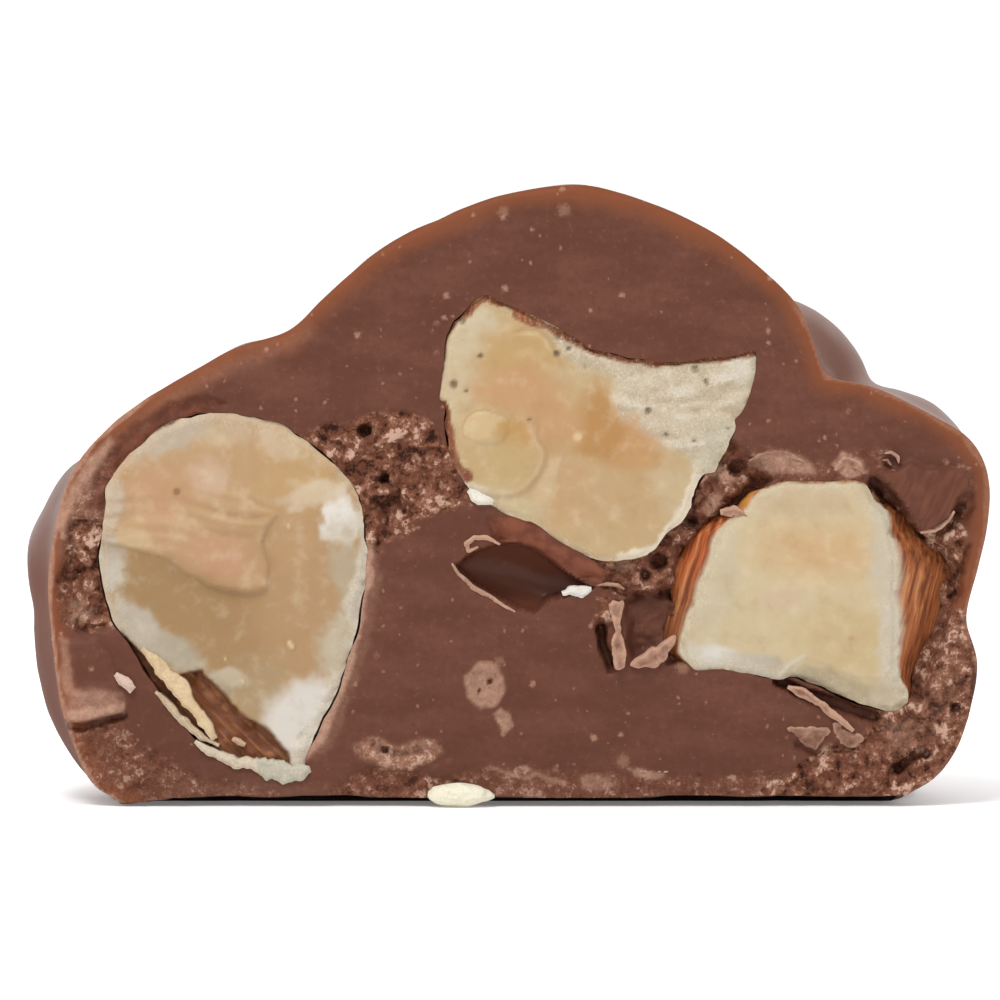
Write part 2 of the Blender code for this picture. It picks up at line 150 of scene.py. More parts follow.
# Places where the knife broke the chocolate: outline, depth broken away and depth of the crumbs in mm,
# and how far their colour is a crumbly one
BROKEN = {
    "between_almonds": ([(-9.4, 17.0), (-8.4, 17.6), (-7.4, 17.6), (-6.5, 18.0), (-5.2, 18.2), (-3.6, 17.8),
        (-2.4, 16.4), (-2.2, 15.0), (-1.0, 14.4), (-1.7, 13.9), (-2.6, 13.5), (-4.0, 13.2), (-4.4, 12.6),
        (-5.0, 12.3), (-5.9, 11.6), (-7.2, 11.6), (-7.3, 13.4), (-8.0, 15.4)], 0.12, 0.46, 1.0),
    "left_edge": ([(-20.0, 13.4), (-19.2, 13.4), (-17.8, 12.6), (-17.6, 10.2), (-17.2, 9.0), (-17.8, 8.1),
        (-19.4, 7.8), (-20.4, 8.3), (-20.7, 10.0), (-20.4, 11.6)], 0.36, 0.50, 0.9),
    "slot_by_left_edge": ([(-20.2, 12.0), (-19.7, 12.2), (-19.4, 10.8), (-19.5, 9.8), (-20.0, 9.6),
        (-20.3, 10.6)], 0.40, 0.20, 0.3),
    "band_above_left_nut": ([(-19.3, 13.6), (-18.7, 15.6), (-17.3, 17.3), (-15.4, 18.5), (-13.6, 18.9),
        (-12.6, 18.6), (-14.6, 17.4), (-17.2, 15.6), (-17.8, 13.6)], 0.34, 0.10, 0.25),
    "left_shoulder": ([(-19.6, 15.4), (-18.2, 16.4), (-17.2, 16.2), (-17.4, 14.6), (-18.2, 13.0),
        (-19.4, 13.0), (-20.2, 13.6)], 0.05, 0.22, 0.45),
    "left_foot": ([(-20.3, 3.6), (-19.6, 3.6), (-18.4, 3.9), (-17.6, 4.0), (-16.9, 3.0), (-15.4, 2.2),
        (-13.4, 1.4), (-11.0, 0.9), (-9.4, 0.0), (-18.4, 0.0), (-19.6, 1.4)], 0.12, 0.26, 0.45),
    "right_nut_skin": ([(17.0, 13.8), (18.3, 12.9), (19.2, 12.5), (20.2, 11.9), (20.8, 11.0), (20.8, 9.8),
        (20.3, 8.4), (19.6, 6.6), (18.9, 4.9), (17.2, 5.4), (16.0, 12.0)], 1.25, 0.10, 0.8),
    "right_wall": ([(17.0, 14.8), (17.8, 14.3), (18.4, 13.4), (18.9, 12.5), (19.8, 12.8), (20.5, 13.4),
        (20.9, 13.6), (21.0, 12.0), (20.8, 10.5), (20.6, 9.4), (21.4, 8.6), (22.3, 7.5), (22.2, 4.2),
        (18.6, 4.4), (19.4, 7.0), (20.3, 8.9), (20.7, 10.4), (20.1, 11.7), (18.8, 12.4), (17.8, 12.3),
        (16.0, 13.4)], 0.10, 0.40, 1.15),
    "right_foot": ([(16.9, 4.9), (18.6, 4.9), (22.2, 5.0), (21.8, 3.4), (20.9, 1.6), (19.6, 0.4),
        (17.6, 0.0), (12.2, 0.0), (11.4, 0.9), (12.8, 1.5), (13.8, 2.3), (15.0, 2.9), (16.2, 3.3),
        (16.7, 3.9)], 0.14, 0.38, 1.0),
    "hollow_by_right_nut": ([(5.7, 9.9), (7.6, 10.0), (7.75, 8.6), (7.65, 7.7), (7.0, 7.3), (5.9, 6.7),
        (5.6, 7.6), (5.5, 9.0)], 0.95, 0.20, 0.10),
    "between_nuts_right": ([(4.0, 11.4), (5.0, 11.9), (6.4, 12.1), (7.4, 12.9), (8.0, 13.9), (8.4, 15.0),
        (8.8, 15.7), (9.6, 16.0), (10.2, 16.9), (11.2, 16.3), (12.2, 15.2), (11.4, 14.0), (10.2, 12.6),
        (9.6, 11.4), (8.6, 9.9), (7.6, 9.6), (6.6, 9.5), (5.4, 9.4), (4.4, 10.1)], 0.42, 0.52, 0.66),
    "right_nut_left_side": ([(7.3, 6.6), (7.55, 8.7), (7.55, 10.8), (7.75, 12.1), (8.6, 12.6), (9.6, 13.6),
        (10.7, 14.6), (11.1, 15.4), (12.2, 15.0), (10.4, 12.6), (9.4, 9.0), (9.0, 6.6)], 0.75, 0.20, 0.5),
    "above_right_nut": ([(10.4, 14.8), (11.6, 14.7), (14.0, 14.6), (16.4, 14.6), (17.2, 15.2), (17.6, 16.4),
        (16.4, 16.5), (15.2, 16.2), (14.3, 15.8), (13.6, 16.2), (12.0, 16.6), (10.9, 16.4)], 0.0, 0.20,
        0.40),
    "lower_band": ([(-2.6, 1.6), (-1.0, 1.9), (0.5, 1.95), (2.7, 1.75), (4.8, 1.55), (7.3, 1.5), (9.7, 1.6),
        (12.6, 1.7), (12.6, 0.0), (-2.8, 0.0)], 0.05, 0.16, 0.42),
    "patch_by_left_nut": ([(-7.0, 2.8), (-6.3, 3.1), (-5.7, 3.1), (-4.9, 2.8), (-4.0, 3.1), (-3.1, 3.2),
        (-2.8, 2.5), (-3.7, 2.0), (-4.2, 1.7), (-5.2, 1.6), (-6.0, 1.9), (-6.8, 2.3)], -0.04, 0.36, 0.9),
    "under_patch": ([(-8.3, 0.4), (-6.9, 1.6), (-5.7, 1.9), (-4.2, 1.6), (-2.7, 1.4), (-1.5, 0.8),
        (-4.0, 0.2)], 0.16, 0.22, 0.6),
    "under_ring": ([(4.0, 9.8), (4.9, 9.9), (4.9, 8.6), (4.6, 7.6), (3.9, 8.6)], 0.10, 0.40, 0.8),
    "beside_flap_right": ([(20.5, 13.2), (20.8, 14.2), (21.2, 14.9), (21.4, 14.2), (21.2, 13.2),
        (20.9, 12.6)], 0.30, 0.26, 0.15),
    "shoulder_corner": ([(19.6, 16.2), (20.6, 16.0), (21.3, 15.7), (21.7, 14.6), (21.0, 14.5),
        (20.2, 15.5)], 0.0, 0.26, 0.6),
}

# Paler places: outline, how pale and how soft at the edge in mm
PALE = {
    # The ledge's step is painted paler as a lit facet: painted light
    "painted_lit_step_of_left_ledge": ([(-20.2, 5.3), (-19.1, 5.45), (-17.7, 5.25), (-17.6, 4.3), (-18.4, 4.15),
        (-19.4, 3.9), (-20.2, 4.0)], 0.42, 0.30),
    "side_of_left_ledge": ([(-20.6, 7.9), (-20.0, 7.8), (-19.9, 6.4), (-19.7, 5.2), (-20.4, 5.2)], 0.40,
        0.16),
    "edge_of_left_ledge": ([(-20.2, 4.4), (-18.6, 4.5), (-17.6, 4.7), (-17.6, 4.3), (-18.4, 4.1),
        (-20.1, 3.95)], 0.40, 0.10),
    "left_rim": ([(-20.9, 11.5), (-20.2, 13.6), (-18.4, 16.6), (-15.8, 18.9), (-12.6, 20.7), (-10.6, 21.3),
        (-9.0, 22.4), (-8.6, 21.6), (-10.4, 20.6), (-12.4, 19.9), (-15.4, 18.3), (-17.8, 16.2),
        (-19.4, 13.4), (-20.2, 11.4)], 0.22, 0.6),
    "left_edge_crumbs": ([(-20.9, 13.0), (-20.2, 14.4), (-19.2, 15.9), (-18.2, 17.0), (-18.0, 16.7),
        (-19.0, 15.2), (-20.0, 13.4), (-20.3, 12.4)], 0.50, 0.20),
    "light_patch_left": ([(-20.2, 9.6), (-19.4, 9.8), (-18.8, 9.0), (-19.2, 8.2), (-20.2, 8.4)], 0.38, 0.3),
    "lip_by_left_nut": ([(-6.5, 12.2), (-5.9, 12.0), (-5.6, 10.6), (-5.9, 9.1), (-6.2, 7.4), (-6.7, 5.9),
        (-7.5, 3.9), (-8.3, 2.3), (-9.2, 2.2), (-8.4, 4.0), (-7.5, 6.5), (-7.0, 9.0), (-6.7, 11.0)], 0.22,
        0.30),
    "edge_by_left_nut": ([(-6.5, 12.4), (-6.1, 12.0), (-6.1, 10.6), (-6.4, 9.2), (-6.7, 7.6), (-7.1, 6.2),
        (-7.8, 4.6), (-8.7, 2.6), (-9.2, 2.2), (-8.6, 4.0), (-7.5, 6.5), (-7.0, 9.0), (-6.7, 11.0)], 0.55,
        0.14),
    "left_shoulder_crumbs": ([(-19.4, 15.2), (-18.2, 15.6), (-17.9, 14.4), (-18.8, 13.0), (-20.0, 13.2)],
        0.16, 0.7),
    "ring_of_bubble": ([(-1.9, 5.0), (-1.95, 6.0), (-1.3, 6.65), (-0.5, 6.6), (-0.05, 6.0), (-0.1, 5.2),
        (-0.5, 4.5), (-1.2, 4.5)], 0.50, 0.14),
    "small_ring": ([(-0.8, 4.3), (-0.3, 4.6), (0.2, 4.2), (0.3, 3.7), (-0.1, 3.5), (-0.5, 3.9)], 0.50,
        0.10),
    "patch_by_left_nut": (BROKEN["patch_by_left_nut"][0], 0.34, 0.25),
    "crumbs_between_nuts": ([(8.7, 15.2), (9.2, 15.9), (10.1, 15.7), (10.8, 15.1), (10.2, 14.8),
        (9.5, 15.1)], 0.60, 0.20),
    "crumbs_between_nuts_low": ([(8.9, 13.5), (9.3, 14.3), (9.7, 14.4), (10.0, 14.1), (9.8, 13.8),
        (9.4, 13.3)], 0.50, 0.18),
    "crumbs_under_centre_nut": ([(4.9, 11.25), (5.5, 11.3), (6.1, 11.0), (5.6, 10.8), (5.0, 10.9)], 0.35,
        0.16),
    "low_streak_left": ([(-0.9, 1.85), (0.2, 1.65), (1.3, 1.35), (0.9, 1.15), (-0.1, 1.4)], 0.50, 0.12),
    "low_streak_middle": ([(0.6, 1.75), (1.6, 1.6), (2.9, 1.2), (2.3, 0.95), (1.4, 1.3)], 0.45, 0.12),
    "low_streak_right": ([(5.6, 1.7), (6.6, 1.62), (7.4, 1.45), (6.8, 1.3), (5.9, 1.45)], 0.50, 0.12),
    "low_crumbs": ([(3.3, 1.35), (4.2, 1.45), (5.0, 1.0), (4.2, 0.75), (3.5, 0.95)], 0.40, 0.15),
    "smear_above_right_nut": ([(11.0, 15.7), (11.7, 16.3), (12.9, 16.4), (13.9, 15.9), (14.2, 15.3),
        (13.3, 15.2), (12.0, 15.25)], 0.50, 0.18),
    "wedge_above_right_nut": ([(14.8, 15.7), (15.3, 16.3), (16.2, 16.0), (16.6, 15.3), (15.6, 15.1)], 0.60,
        0.14),
    "foot_under_left_nut": ([(-16.0, 1.4), (-12.0, 1.4), (-8.0, 0.9), (-9.0, 0.3), (-15.0, 0.3)], 0.18,
        0.8),
    "right_wall_crumbs": ([(19.2, 8.4), (20.2, 8.8), (21.4, 7.0), (21.2, 4.0), (19.8, 2.4), (18.4, 3.4),
        (18.9, 4.9), (19.6, 6.8)], 0.17, 0.8),
    "right_foot_patch": ([(17.1, 4.2), (18.6, 4.0), (18.8, 2.6), (17.4, 2.4)], 0.30, 0.5),
    "above_low_flakes": ([(12.0, 4.6), (13.4, 4.9), (14.6, 4.4), (13.2, 3.9)], 0.12, 0.5),
}

# Ledges left standing: outline and how far they stand out in mm
RAISED = {
    "flap_above_right_nut": ([(16.6, 15.4), (17.0, 14.9), (17.8, 14.3), (18.4, 13.4), (18.9, 12.55),
        (19.7, 12.8), (20.4, 13.4), (20.7, 14.2), (21.4, 14.6), (21.2, 15.4), (20.5, 15.7), (19.2, 15.6),
        (18.5, 15.9), (17.8, 15.5), (17.2, 15.7)], 0.60),
    "ledge_left": ([(-20.5, 7.7), (-19.6, 7.7), (-18.7, 7.8), (-18.0, 7.0), (-17.7, 5.1), (-17.7, 4.3),
        (-18.4, 4.15), (-19.4, 3.85), (-20.2, 3.9), (-20.4, 6.0)], 0.22),
}

# Narrow grooves: points along them, half width and depth in mm
GROOVES = {
    "slit_by_flake": ([(4.35, 8.2), (4.45, 7.3), (4.8, 6.4)], 0.17, 1.1),
    "slit_under_right_nut": ([(12.5, 5.75), (13.4, 5.3), (14.4, 5.0), (15.8, 4.45), (16.9, 4.1)], 0.22,
        0.9),
    "slot_low_right": ([(18.0, 1.7), (18.5, 2.2), (19.1, 2.5), (19.3, 2.4)], 0.20, 0.9),
    "ledge_crack": ([(-20.2, 3.75), (-19.4, 3.65), (-18.4, 4.0), (-17.6, 4.15)], 0.15, 0.5),
    "beside_flap": ([(16.9, 14.9), (17.6, 14.2), (18.2, 13.3), (18.8, 12.3)], 0.30, 1.0),
    "under_flap": ([(18.9, 12.35), (19.7, 12.55), (20.4, 13.1), (20.8, 13.8)], 0.16, 0.6),
    "wall_crack": ([(19.9, 11.6), (20.3, 10.9), (20.5, 10.2), (20.9, 10.9), (21.2, 12.0)], 0.09, 0.3),
    "under_low_flakes": ([(13.4, 2.85), (14.2, 2.5), (15.2, 2.6), (16.0, 2.7)], 0.15, 0.3),
}

# Air bubbles opened by the knife: place, radius and depth in mm, and how pale their floor is
BUBBLES = {
    "high": ((-6.5, 17.3), 0.34, 1.0, 0.0),
    "middle": ((-5.6, 15.1), 0.26, 1.0, 0.0),
    "wide": ((-5.15, 13.7), 0.75, 0.65, 0.0),
    "right_wall": ((20.6, 4.5), 0.26, 0.9, 0.0),
    "between_nuts_high": ((10.6, 15.55), 0.34, 1.0, 0.0),
    "between_nuts": ((8.45, 13.0), 0.36, 1.0, 0.0),
    "under_centre_nut": ((7.0, 11.25), 0.38, 1.0, 0.0),
    "under_centre_nut_left": ((6.35, 10.6), 0.24, 0.8, 0.0),
    "disc": ((-1.0, 5.6), 0.62, 0.20, 0.2),
    "disc_pore": ((-0.75, 5.75), 0.14, 0.4, 0.0),
    "disc_pore_low": ((-1.25, 5.3), 0.11, 0.3, 0.0),
    "small_ring": ((-0.3, 4.05), 0.20, 0.14, 0.2),
    "patch_pore": ((-5.6, 2.6), 0.24, 0.5, 0.0),
}

# The smooth hollow under the centre almond, and its reddish roof, painted lighter as lit from below
HOLLOW_MOUTH = [
    (-2.4, 11.05), (-1.6, 11.7), (-0.4, 12.1), (0.5, 12.15), (1.2, 11.9), (2.3, 11.1), (3.3, 10.45),
    (4.0, 10.05), (2.9, 9.75), (1.9, 9.4), (1.3, 8.9), (0.5, 9.1), (-0.8, 9.7), (-1.6, 10.2),
]
ROOF = [
    (-1.0, 13.4), (0.5, 13.5), (1.3, 13.2), (1.9, 12.6), (3.2, 11.8), (4.2, 11.2), (4.8, 10.7), (4.3, 10.2),
    (3.3, 10.3), (2.3, 10.9), (1.2, 11.7), (0.5, 11.95), (-0.6, 12.1),
]
HOLLOW_MIDDLE = (0.8, 10.3)
HOLLOW_TILT = math.radians(-16)
HOLLOW_REACH = (3.6, 2.0, 1.5)  # along, up to the roof and down to the lip
HOLLOW_DEPTH = 2.2

# Pale specks in the chocolate, gaps by the almonds, and the base's front edge
SPECKS = ((2.7, 0.46, 0.34), (1.35, 0.24, 0.62), (0.80, 0.12, 0.40))  # spacing, biggest radius, paleness
SHRUNK = (  # lines along which an almond shrank from the chocolate
    [(-6.4, 9.6), (-7.0, 7.8)],
    [(-7.3, 6.0), (-8.0, 4.6), (-8.9, 3.3)],
    [(-18.7, 12.0), (-18.6, 10.6), (-18.2, 9.2), (-17.8, 8.4)],
    [(12.6, 5.8), (15.8, 4.8), (17.0, 4.4)],
    [(8.8, 15.2), (8.6, 14.4)],
)
UNDERCUT = 3.0  # how far the base's front edge is drawn back

# What the cuts through the almonds show: outlines, lines, and spots with their radius
LEFT_FLAP = [
    (-19.5, 12.3), (-17.6, 12.0), (-16.5, 11.7), (-15.4, 11.4), (-14.8, 10.8), (-13.7, 10.2), (-12.4, 9.9),
    (-11.4, 9.9), (-10.9, 10.2), (-10.85, 11.2), (-11.2, 12.2), (-10.9, 12.9), (-10.4, 13.5), (-11.2, 13.8),
    (-12.1, 14.3), (-12.5, 15.3), (-12.6, 19.0), (-18.0, 19.0),
]
LEFT_TOP_SKIN = [(-16.4, 17.3), (-14.7, 18.1), (-13.6, 18.3), (-12.1, 18.2), (-10.5, 17.9)]
CENTRE_POROUS = [
    (1.0, 22.8), (1.9, 21.5), (2.6, 20.6), (3.6, 20.1), (4.9, 19.4), (5.2, 18.1), (6.4, 17.3), (7.6, 16.4),
    (8.4, 15.7), (8.8, 14.8), (10.5, 14.5), (12.5, 18.0), (12.5, 22.0), (5.0, 22.0),
]
CENTRE_TOASTED = [
    (4.1, 19.7), (3.6, 19.0), (3.2, 18.4), (3.4, 17.6), (3.2, 17.0), (2.7, 16.3), (3.3, 15.8), (4.4, 15.6),
    (5.6, 15.5), (6.8, 15.6), (7.0, 16.2), (6.0, 16.9), (5.4, 17.6), (5.1, 18.4), (4.8, 19.2),
]
CENTRE_LOW_EDGE = [(8.6, 14.6), (8.2, 13.5), (7.6, 12.7), (6.6, 11.9), (5.8, 11.4)]
CENTRE_SPECKS = (
    (-2.0, 22.3, 0.16), (-2.4, 19.4, 0.15), (-1.85, 19.1, 0.08), (-1.2, 20.7, 0.12), (2.3, 20.8, 0.14),
    (6.5, 18.2, 0.13), (7.3, 17.1, 0.11), (1.05, 17.8, 0.06),
)
CENTRE_SKIN = (
    ([(-3.0, 20.6), (-2.8, 21.5), (-2.2, 22.5), (-1.2, 23.2)], 0.16),
    ([(-2.0, 22.8), (-1.5, 23.3), (-0.9, 23.5), (-0.2, 23.2), (0.6, 22.9)], 0.38),
    ([(-2.9, 18.5), (-2.85, 17.6), (-2.6, 16.8), (-2.5, 16.4)], 0.26),
    ([(-2.5, 16.2), (-2.2, 15.7), (-1.8, 15.2)], 0.34),
    ([(0.4, 22.65), (1.9, 22.05), (4.0, 20.95), (6.6, 20.42), (9.2, 20.55), (11.3, 20.85)], 0.20),
)
RIGHT_FOLD = [
    (12.5, 5.9), (12.9, 6.5), (13.6, 6.9), (14.6, 6.6), (16.0, 6.0), (17.6, 5.9), (19.0, 6.0), (19.0, 3.5),
    (12.0, 4.5),
]
RIGHT_FOLD_EDGE = [(12.5, 6.0), (12.9, 6.5), (13.6, 6.9)]
RIGHT_TOP_SKIN = [(10.9, 14.0), (11.6, 14.75), (12.7, 15.1), (14.3, 15.05), (16.0, 15.1), (16.6, 14.9)]

# The skins' screen colours
SKINS = {"almond_left": (128, 74, 48), "almond_centre": (150, 90, 56), "almond_right": (170, 97, 54)}

# Patches of colour on the almonds' flesh: place, half sizes, turn, softness, screen colour and strength
SMALL_PATCH = 1.25  # a patch with a half size below this is a small one
LEFT_PATCHES = [
    ((-14.2, 15.0), (4.4, 3.2), 0, 0.9, (203, 169, 129), 0.9),
    ((-13.0, 17.5), (3.4, 0.8), -8, 0.8, (212, 194, 166), 0.60),
    ((-15.4, 17.1), (1.7, 0.7), 25, 0.8, (198, 188, 174), 0.75),
    ((-9.6, 15.2), (1.9, 2.2), -30, 0.8, (205, 172, 124), 0.8),
    ((-10.4, 16.7), (1.6, 0.7), -28, 0.8, (220, 200, 172), 0.75),
    ((-13.7, 14.9), (1.0, 0.9), -40, 0.7, (218, 190, 166), 0.75),
    ((-15.9, 14.2), (1.7, 1.2), 0, 0.9, (206, 164, 126), 0.7),
    ((-14.0, 11.5), (3.1, 1.5), -14, 0.7, (204, 165, 128), 0.85),
    ((-13.0, 11.3), (1.0, 1.0), 0, 0.9, (209, 162, 130), 0.5),
    ((-17.1, 12.3), (0.8, 0.5), -15, 0.7, (218, 194, 156), 0.8),
    ((-15.4, 9.6), (2.8, 1.6), -28, 0.8, (168, 137, 95), 0.9),
    ((-13.4, 7.9), (3.2, 2.4), -40, 1.0, (176, 143, 100), 0.85),
    ((-9.2, 8.8), (2.0, 4.2), 8, 0.9, (191, 157, 117), 0.8),
    ((-10.0, 12.4), (1.1, 1.8), 0, 0.9, (198, 163, 122), 0.75),
    ((-11.4, 5.2), (1.2, 1.6), 0, 0.9, (184, 162, 128), 0.8),
    ((-7.6, 13.2), (0.80, 1.2), 20, 0.6, (240, 238, 234), 1.0),
    ((-8.9, 14.3), (1.4, 0.55), 18, 0.8, (222, 204, 178), 0.85),
    ((-7.2, 10.4), (0.85, 2.2), 5, 0.9, (194, 181, 156), 0.85),
    ((-7.6, 7.0), (0.9, 1.8), 18, 0.8, (206, 197, 176), 0.9),
    ((-9.5, 4.1), (1.9, 1.4), 55, 0.7, (232, 230, 226), 1.0),
    ((-12.8, 5.9), (0.9, 0.4), 0, 0.7, (208, 197, 176), 0.9),
    ((-13.2, 5.3), (0.5, 0.5), 0, 0.8, (176, 165, 146), 0.7),
    ((-16.7, 8.1), (1.9, 0.85), -42, 0.7, (198, 190, 176), 0.95),
    ((-14.9, 6.9), (1.5, 0.7), -38, 0.8, (186, 178, 160), 0.9),
    ((-18.2, 14.0), (0.8, 1.2), 0, 0.7, (212, 200, 184), 0.85),
    ((-18.3, 11.0), (0.75, 1.2), 10, 0.7, (208, 202, 190), 0.95),
]
CENTRE_PATCHES = [
    ((-1.3, 21.9), (1.3, 1.0), 0, 0.8, (218, 208, 182), 0.85),
    ((-2.4, 20.0), (0.8, 2.2), 0, 0.8, (216, 200, 168), 0.85),
    ((0.4, 20.8), (1.8, 1.3), -20, 0.8, (204, 170, 116), 0.85),
    ((0.8, 19.0), (2.0, 1.2), -10, 0.9, (209, 165, 121), 0.85),
    ((-1.1, 17.5), (1.1, 0.8), 0, 0.6, (221, 196, 152), 0.9),
    ((0.4, 17.1), (1.0, 0.8), 0, 0.7, (200, 158, 96), 0.85),
    ((-0.3, 15.9), (1.6, 1.0), 0, 0.8, (204, 178, 128), 0.8),
    ((2.2, 17.6), (1.3, 1.3), 0, 0.9, (207, 164, 120), 0.8),
    ((5.0, 17.2), (2.1, 1.4), -25, 0.8, (207, 161, 114), 0.9),
    ((2.8, 14.5), (1.3, 1.8), 0, 0.8, (207, 170, 128), 0.8),
    ((5.6, 13.9), (2.4, 1.9), 0, 0.9, (204, 174, 132), 0.9),
    ((1.9, 15.0), (0.45, 1.2), -20, 0.6, (218, 195, 158), 0.8),
    ((7.6, 14.4), (0.8, 1.6), 20, 0.8, (212, 195, 160), 0.7),
    ((0.2, 14.0), (1.6, 0.5), -20, 0.8, (208, 194, 160), 0.7),
]
CENTRE_TOP_PATCHES = [
    ((10.7, 20.2), (0.8, 0.9), 0, 0.6, (229, 225, 212), 0.9),
    ((9.6, 16.6), (0.9, 1.4), 0, 0.8, (207, 202, 184), 0.8),
    ((8.2, 13.4), (0.45, 1.0), -30, 0.6, (230, 221, 202), 0.9),
    ((6.4, 11.6), (0.7, 0.3), 20, 0.6, (230, 219, 200), 0.9),
    ((-1.2, 14.4), (0.8, 0.35), -30, 0.5, (228, 217, 196), 0.9),
]
RIGHT_PATCHES = [
    ((14.3, 11.8), (2.7, 1.25), 0, 1.5, (220, 186, 140), 0.85),
    ((15.5, 7.8), (2.4, 1.3), -5, 0.9, (212, 190, 146), 0.8),
    ((12.6, 9.6), (0.9, 0.6), 0, 0.9, (219, 195, 170), 0.7),
    ((13.5, 14.2), (3.3, 0.9), 0, 0.9, (212, 192, 160), 0.85),
    ((17.5, 11.5), (0.80, 3.2), 3, 0.9, (212, 206, 192), 0.80),
    ((17.7, 7.6), (0.7, 2.4), 0, 0.9, (216, 212, 202), 0.80),
    ((9.4, 7.0), (1.2, 0.6), -5, 0.6, (230, 230, 226), 1.0),
    ((11.0, 6.6), (1.4, 0.5), -12, 0.7, (201, 197, 188), 0.8),
    ((12.1, 6.2), (1.1, 0.55), -15, 0.7, (198, 194, 182), 0.85),
    ((15.2, 5.5), (2.3, 0.6), -18, 0.8, (190, 176, 144), 0.95),
    ((17.6, 5.0), (0.9, 0.5), -20, 0.7, (212, 200, 174), 0.95),
    ((9.5, 9.6), (0.9, 3.0), -17, 0.9, (214, 202, 176), 0.75),
]

# How much light reaches the front of the cluster, against a surface that looks as bright as it is,
# and what the gloss on the almonds adds, taken off their colours again
LIGHT = 1.27
GLOSS_OFF = np.array((0.87, 0.82, 0.76))

# Factors that scatter the numbers of neighbouring places
COLUMN_SCATTER = 73856093
ROW_SCATTER = 19349663
SEED_SCATTER = 83492791
LAST_SCATTER = 1274126177

TINY = 1e-12  # keeps a divisor off zero
FAR = 1e9  # further than any point lies


def random_at(column, row, seed):
    """A repeatable number from 0 to 1 for each whole column and row."""
    mixed = (column * COLUMN_SCATTER) ^ (row * ROW_SCATTER) ^ (seed * SEED_SCATTER)
    mixed = ((mixed ^ (mixed >> 13)) * LAST_SCATTER) & 0x7FFFFFFF
    return ((mixed ^ (mixed >> 15)) & 0xFFFFF) / 0xFFFFF


def whole(values):
    return np.floor(values).astype(np.int64)


def turned(x, z, turn, middle=(0.0, 0.0)):
    """How far points lie from a middle along a turned direction, and how far across it."""
    x, z = x - middle[0], z - middle[1]
    return x * math.cos(turn) + z * math.sin(turn), z * math.cos(turn) - x * math.sin(turn)


def uneven(x, z, size, seed):
    """Soft unevenness from -1 to 1, with swells about size mm apart."""
    u, v = [place / size for place in turned(x, z, 0.6 + seed)]
    column, row = whole(u), whole(v)
    u, v = u - column, v - row
    u, v = u * u * (3 - 2 * u), v * v * (3 - 2 * v)
    low = random_at(column, row, seed) * (1 - u) + random_at(column + 1, row, seed) * u
    high = random_at(column, row + 1, seed) * (1 - u) + random_at(column + 1, row + 1, seed) * u
    return 2 * (low * (1 - v) + high * v) - 1


def layered(x, z, size, seed):
    """Unevenness with two finer layers on it."""
    return (uneven(x, z, size, seed) + 0.5 * uneven(x, z, size / 2, seed + 7)
            + 0.25 * uneven(x, z, size / 4, seed + 13)) / 1.75


def cells(x, z, size, seed):
    """Crumbs about size mm across: each crumb's own number, and how far off its middle a point lies."""
    u, v = x / size, z / size
    column, row = whole(u), whole(v)
    nearest = np.full(x.shape, 9.0)
    number = np.zeros(x.shape)
    for right in (-1, 0, 1):
        for up in (-1, 0, 1):
            c, r = column + right, row + up
            off = np.hypot(u - c - random_at(c, r, seed), v - r - random_at(c, r, seed + 1))
            closer = off < nearest
            nearest = np.where(closer, off, nearest)
            number = np.where(closer, random_at(c, r, seed + 2), number)
    return number, np.minimum(nearest, 1.0)


def crumble(x, z, seed):
    """Depth from 0 to 1 of crumbly chocolate: coarse crumbs, finer ones on them, and crevices."""
    wobble_x = x + 0.25 * uneven(x, z, 0.8, seed + 3)
    wobble_z = z + 0.25 * uneven(x, z, 0.8, seed + 4)
    depth = np.zeros(x.shape)
    for share, size in ((0.42, 1.0), (0.33, 0.5), (0.25, 0.27)):
        number, off = cells(wobble_x, wobble_z, size, seed + int(size * 100))
        depth += share * (0.6 * number + 0.5 * off * off)
    creases = np.abs(layered(wobble_x, wobble_z, 1.3, seed + 9))
    creases = creases + 0.5 * np.abs(layered(x, z, 0.45, seed + 15))
    return np.clip(0.5 + (depth - 0.41) * 1.6 + (0.42 - creases) * 0.7, 0.0, 1.0)


def ramp(value, low, high):
    """0 below low and 1 above high, with a soft rise between."""
    t = np.clip((value - low) / (high - low), 0.0, 1.0)
    return t * t * (3 - 2 * t)


def segment_distance(a, b, x, z):
    """Millimetres off the straight line from a to b."""
    along = (b[0] - a[0], b[1] - a[1])
    length = along[0] ** 2 + along[1] ** 2 + TINY
    t = np.clip(((x - a[0]) * along[0] + (z - a[1]) * along[1]) / length, 0.0, 1.0)
    return np.hypot(x - a[0] - t * along[0], z - a[1] - t * along[1])


def box_round(points, left, right, low, high):
    """The sides of a box round some points, with a margin at each side."""
    xs, zs = zip(*points)
    return min(xs) - left, max(xs) + right, min(zs) - low, max(zs) + high


def near(points, x, z, margin):
    """Where a point lies in the outline's box, widened by a margin."""
    left, right, low, high = box_round(points, margin, margin, margin, margin)
    return (x > left) & (x < right) & (z > low) & (z < high)


def inside(points, x, z, margin=1.5):
    """Millimetres inside a closed outline, negative outside it; far outside it is just -margin."""
    result = np.full(x.shape, -margin)
    close = near(points, x, z, margin)
    px, pz = x[close], z[close]
    away = np.full(px.shape, FAR)
    within = np.zeros(px.shape, bool)
    for a, b in zip(points, points[1:] + points[:1]):
        away = np.minimum(away, segment_distance(a, b, px, pz))
        crossing = (b[0] - a[0]) * (pz - a[1]) / (b[1] - a[1] + TINY) + a[0]
        within ^= ((a[1] > pz) != (b[1] > pz)) & (px < crossing)
    result[close] = np.where(within, away, -away)
    return result


def off_line(points, x, z, margin=1.5):
    """Millimetres off an open line, at most margin."""
    result = np.full(x.shape, margin)
    close = near(points, x, z, margin)
    for a, b in zip(points, points[1:]):
        result[close] = np.minimum(result[close], segment_distance(a, b, x[close], z[close]))
    return result


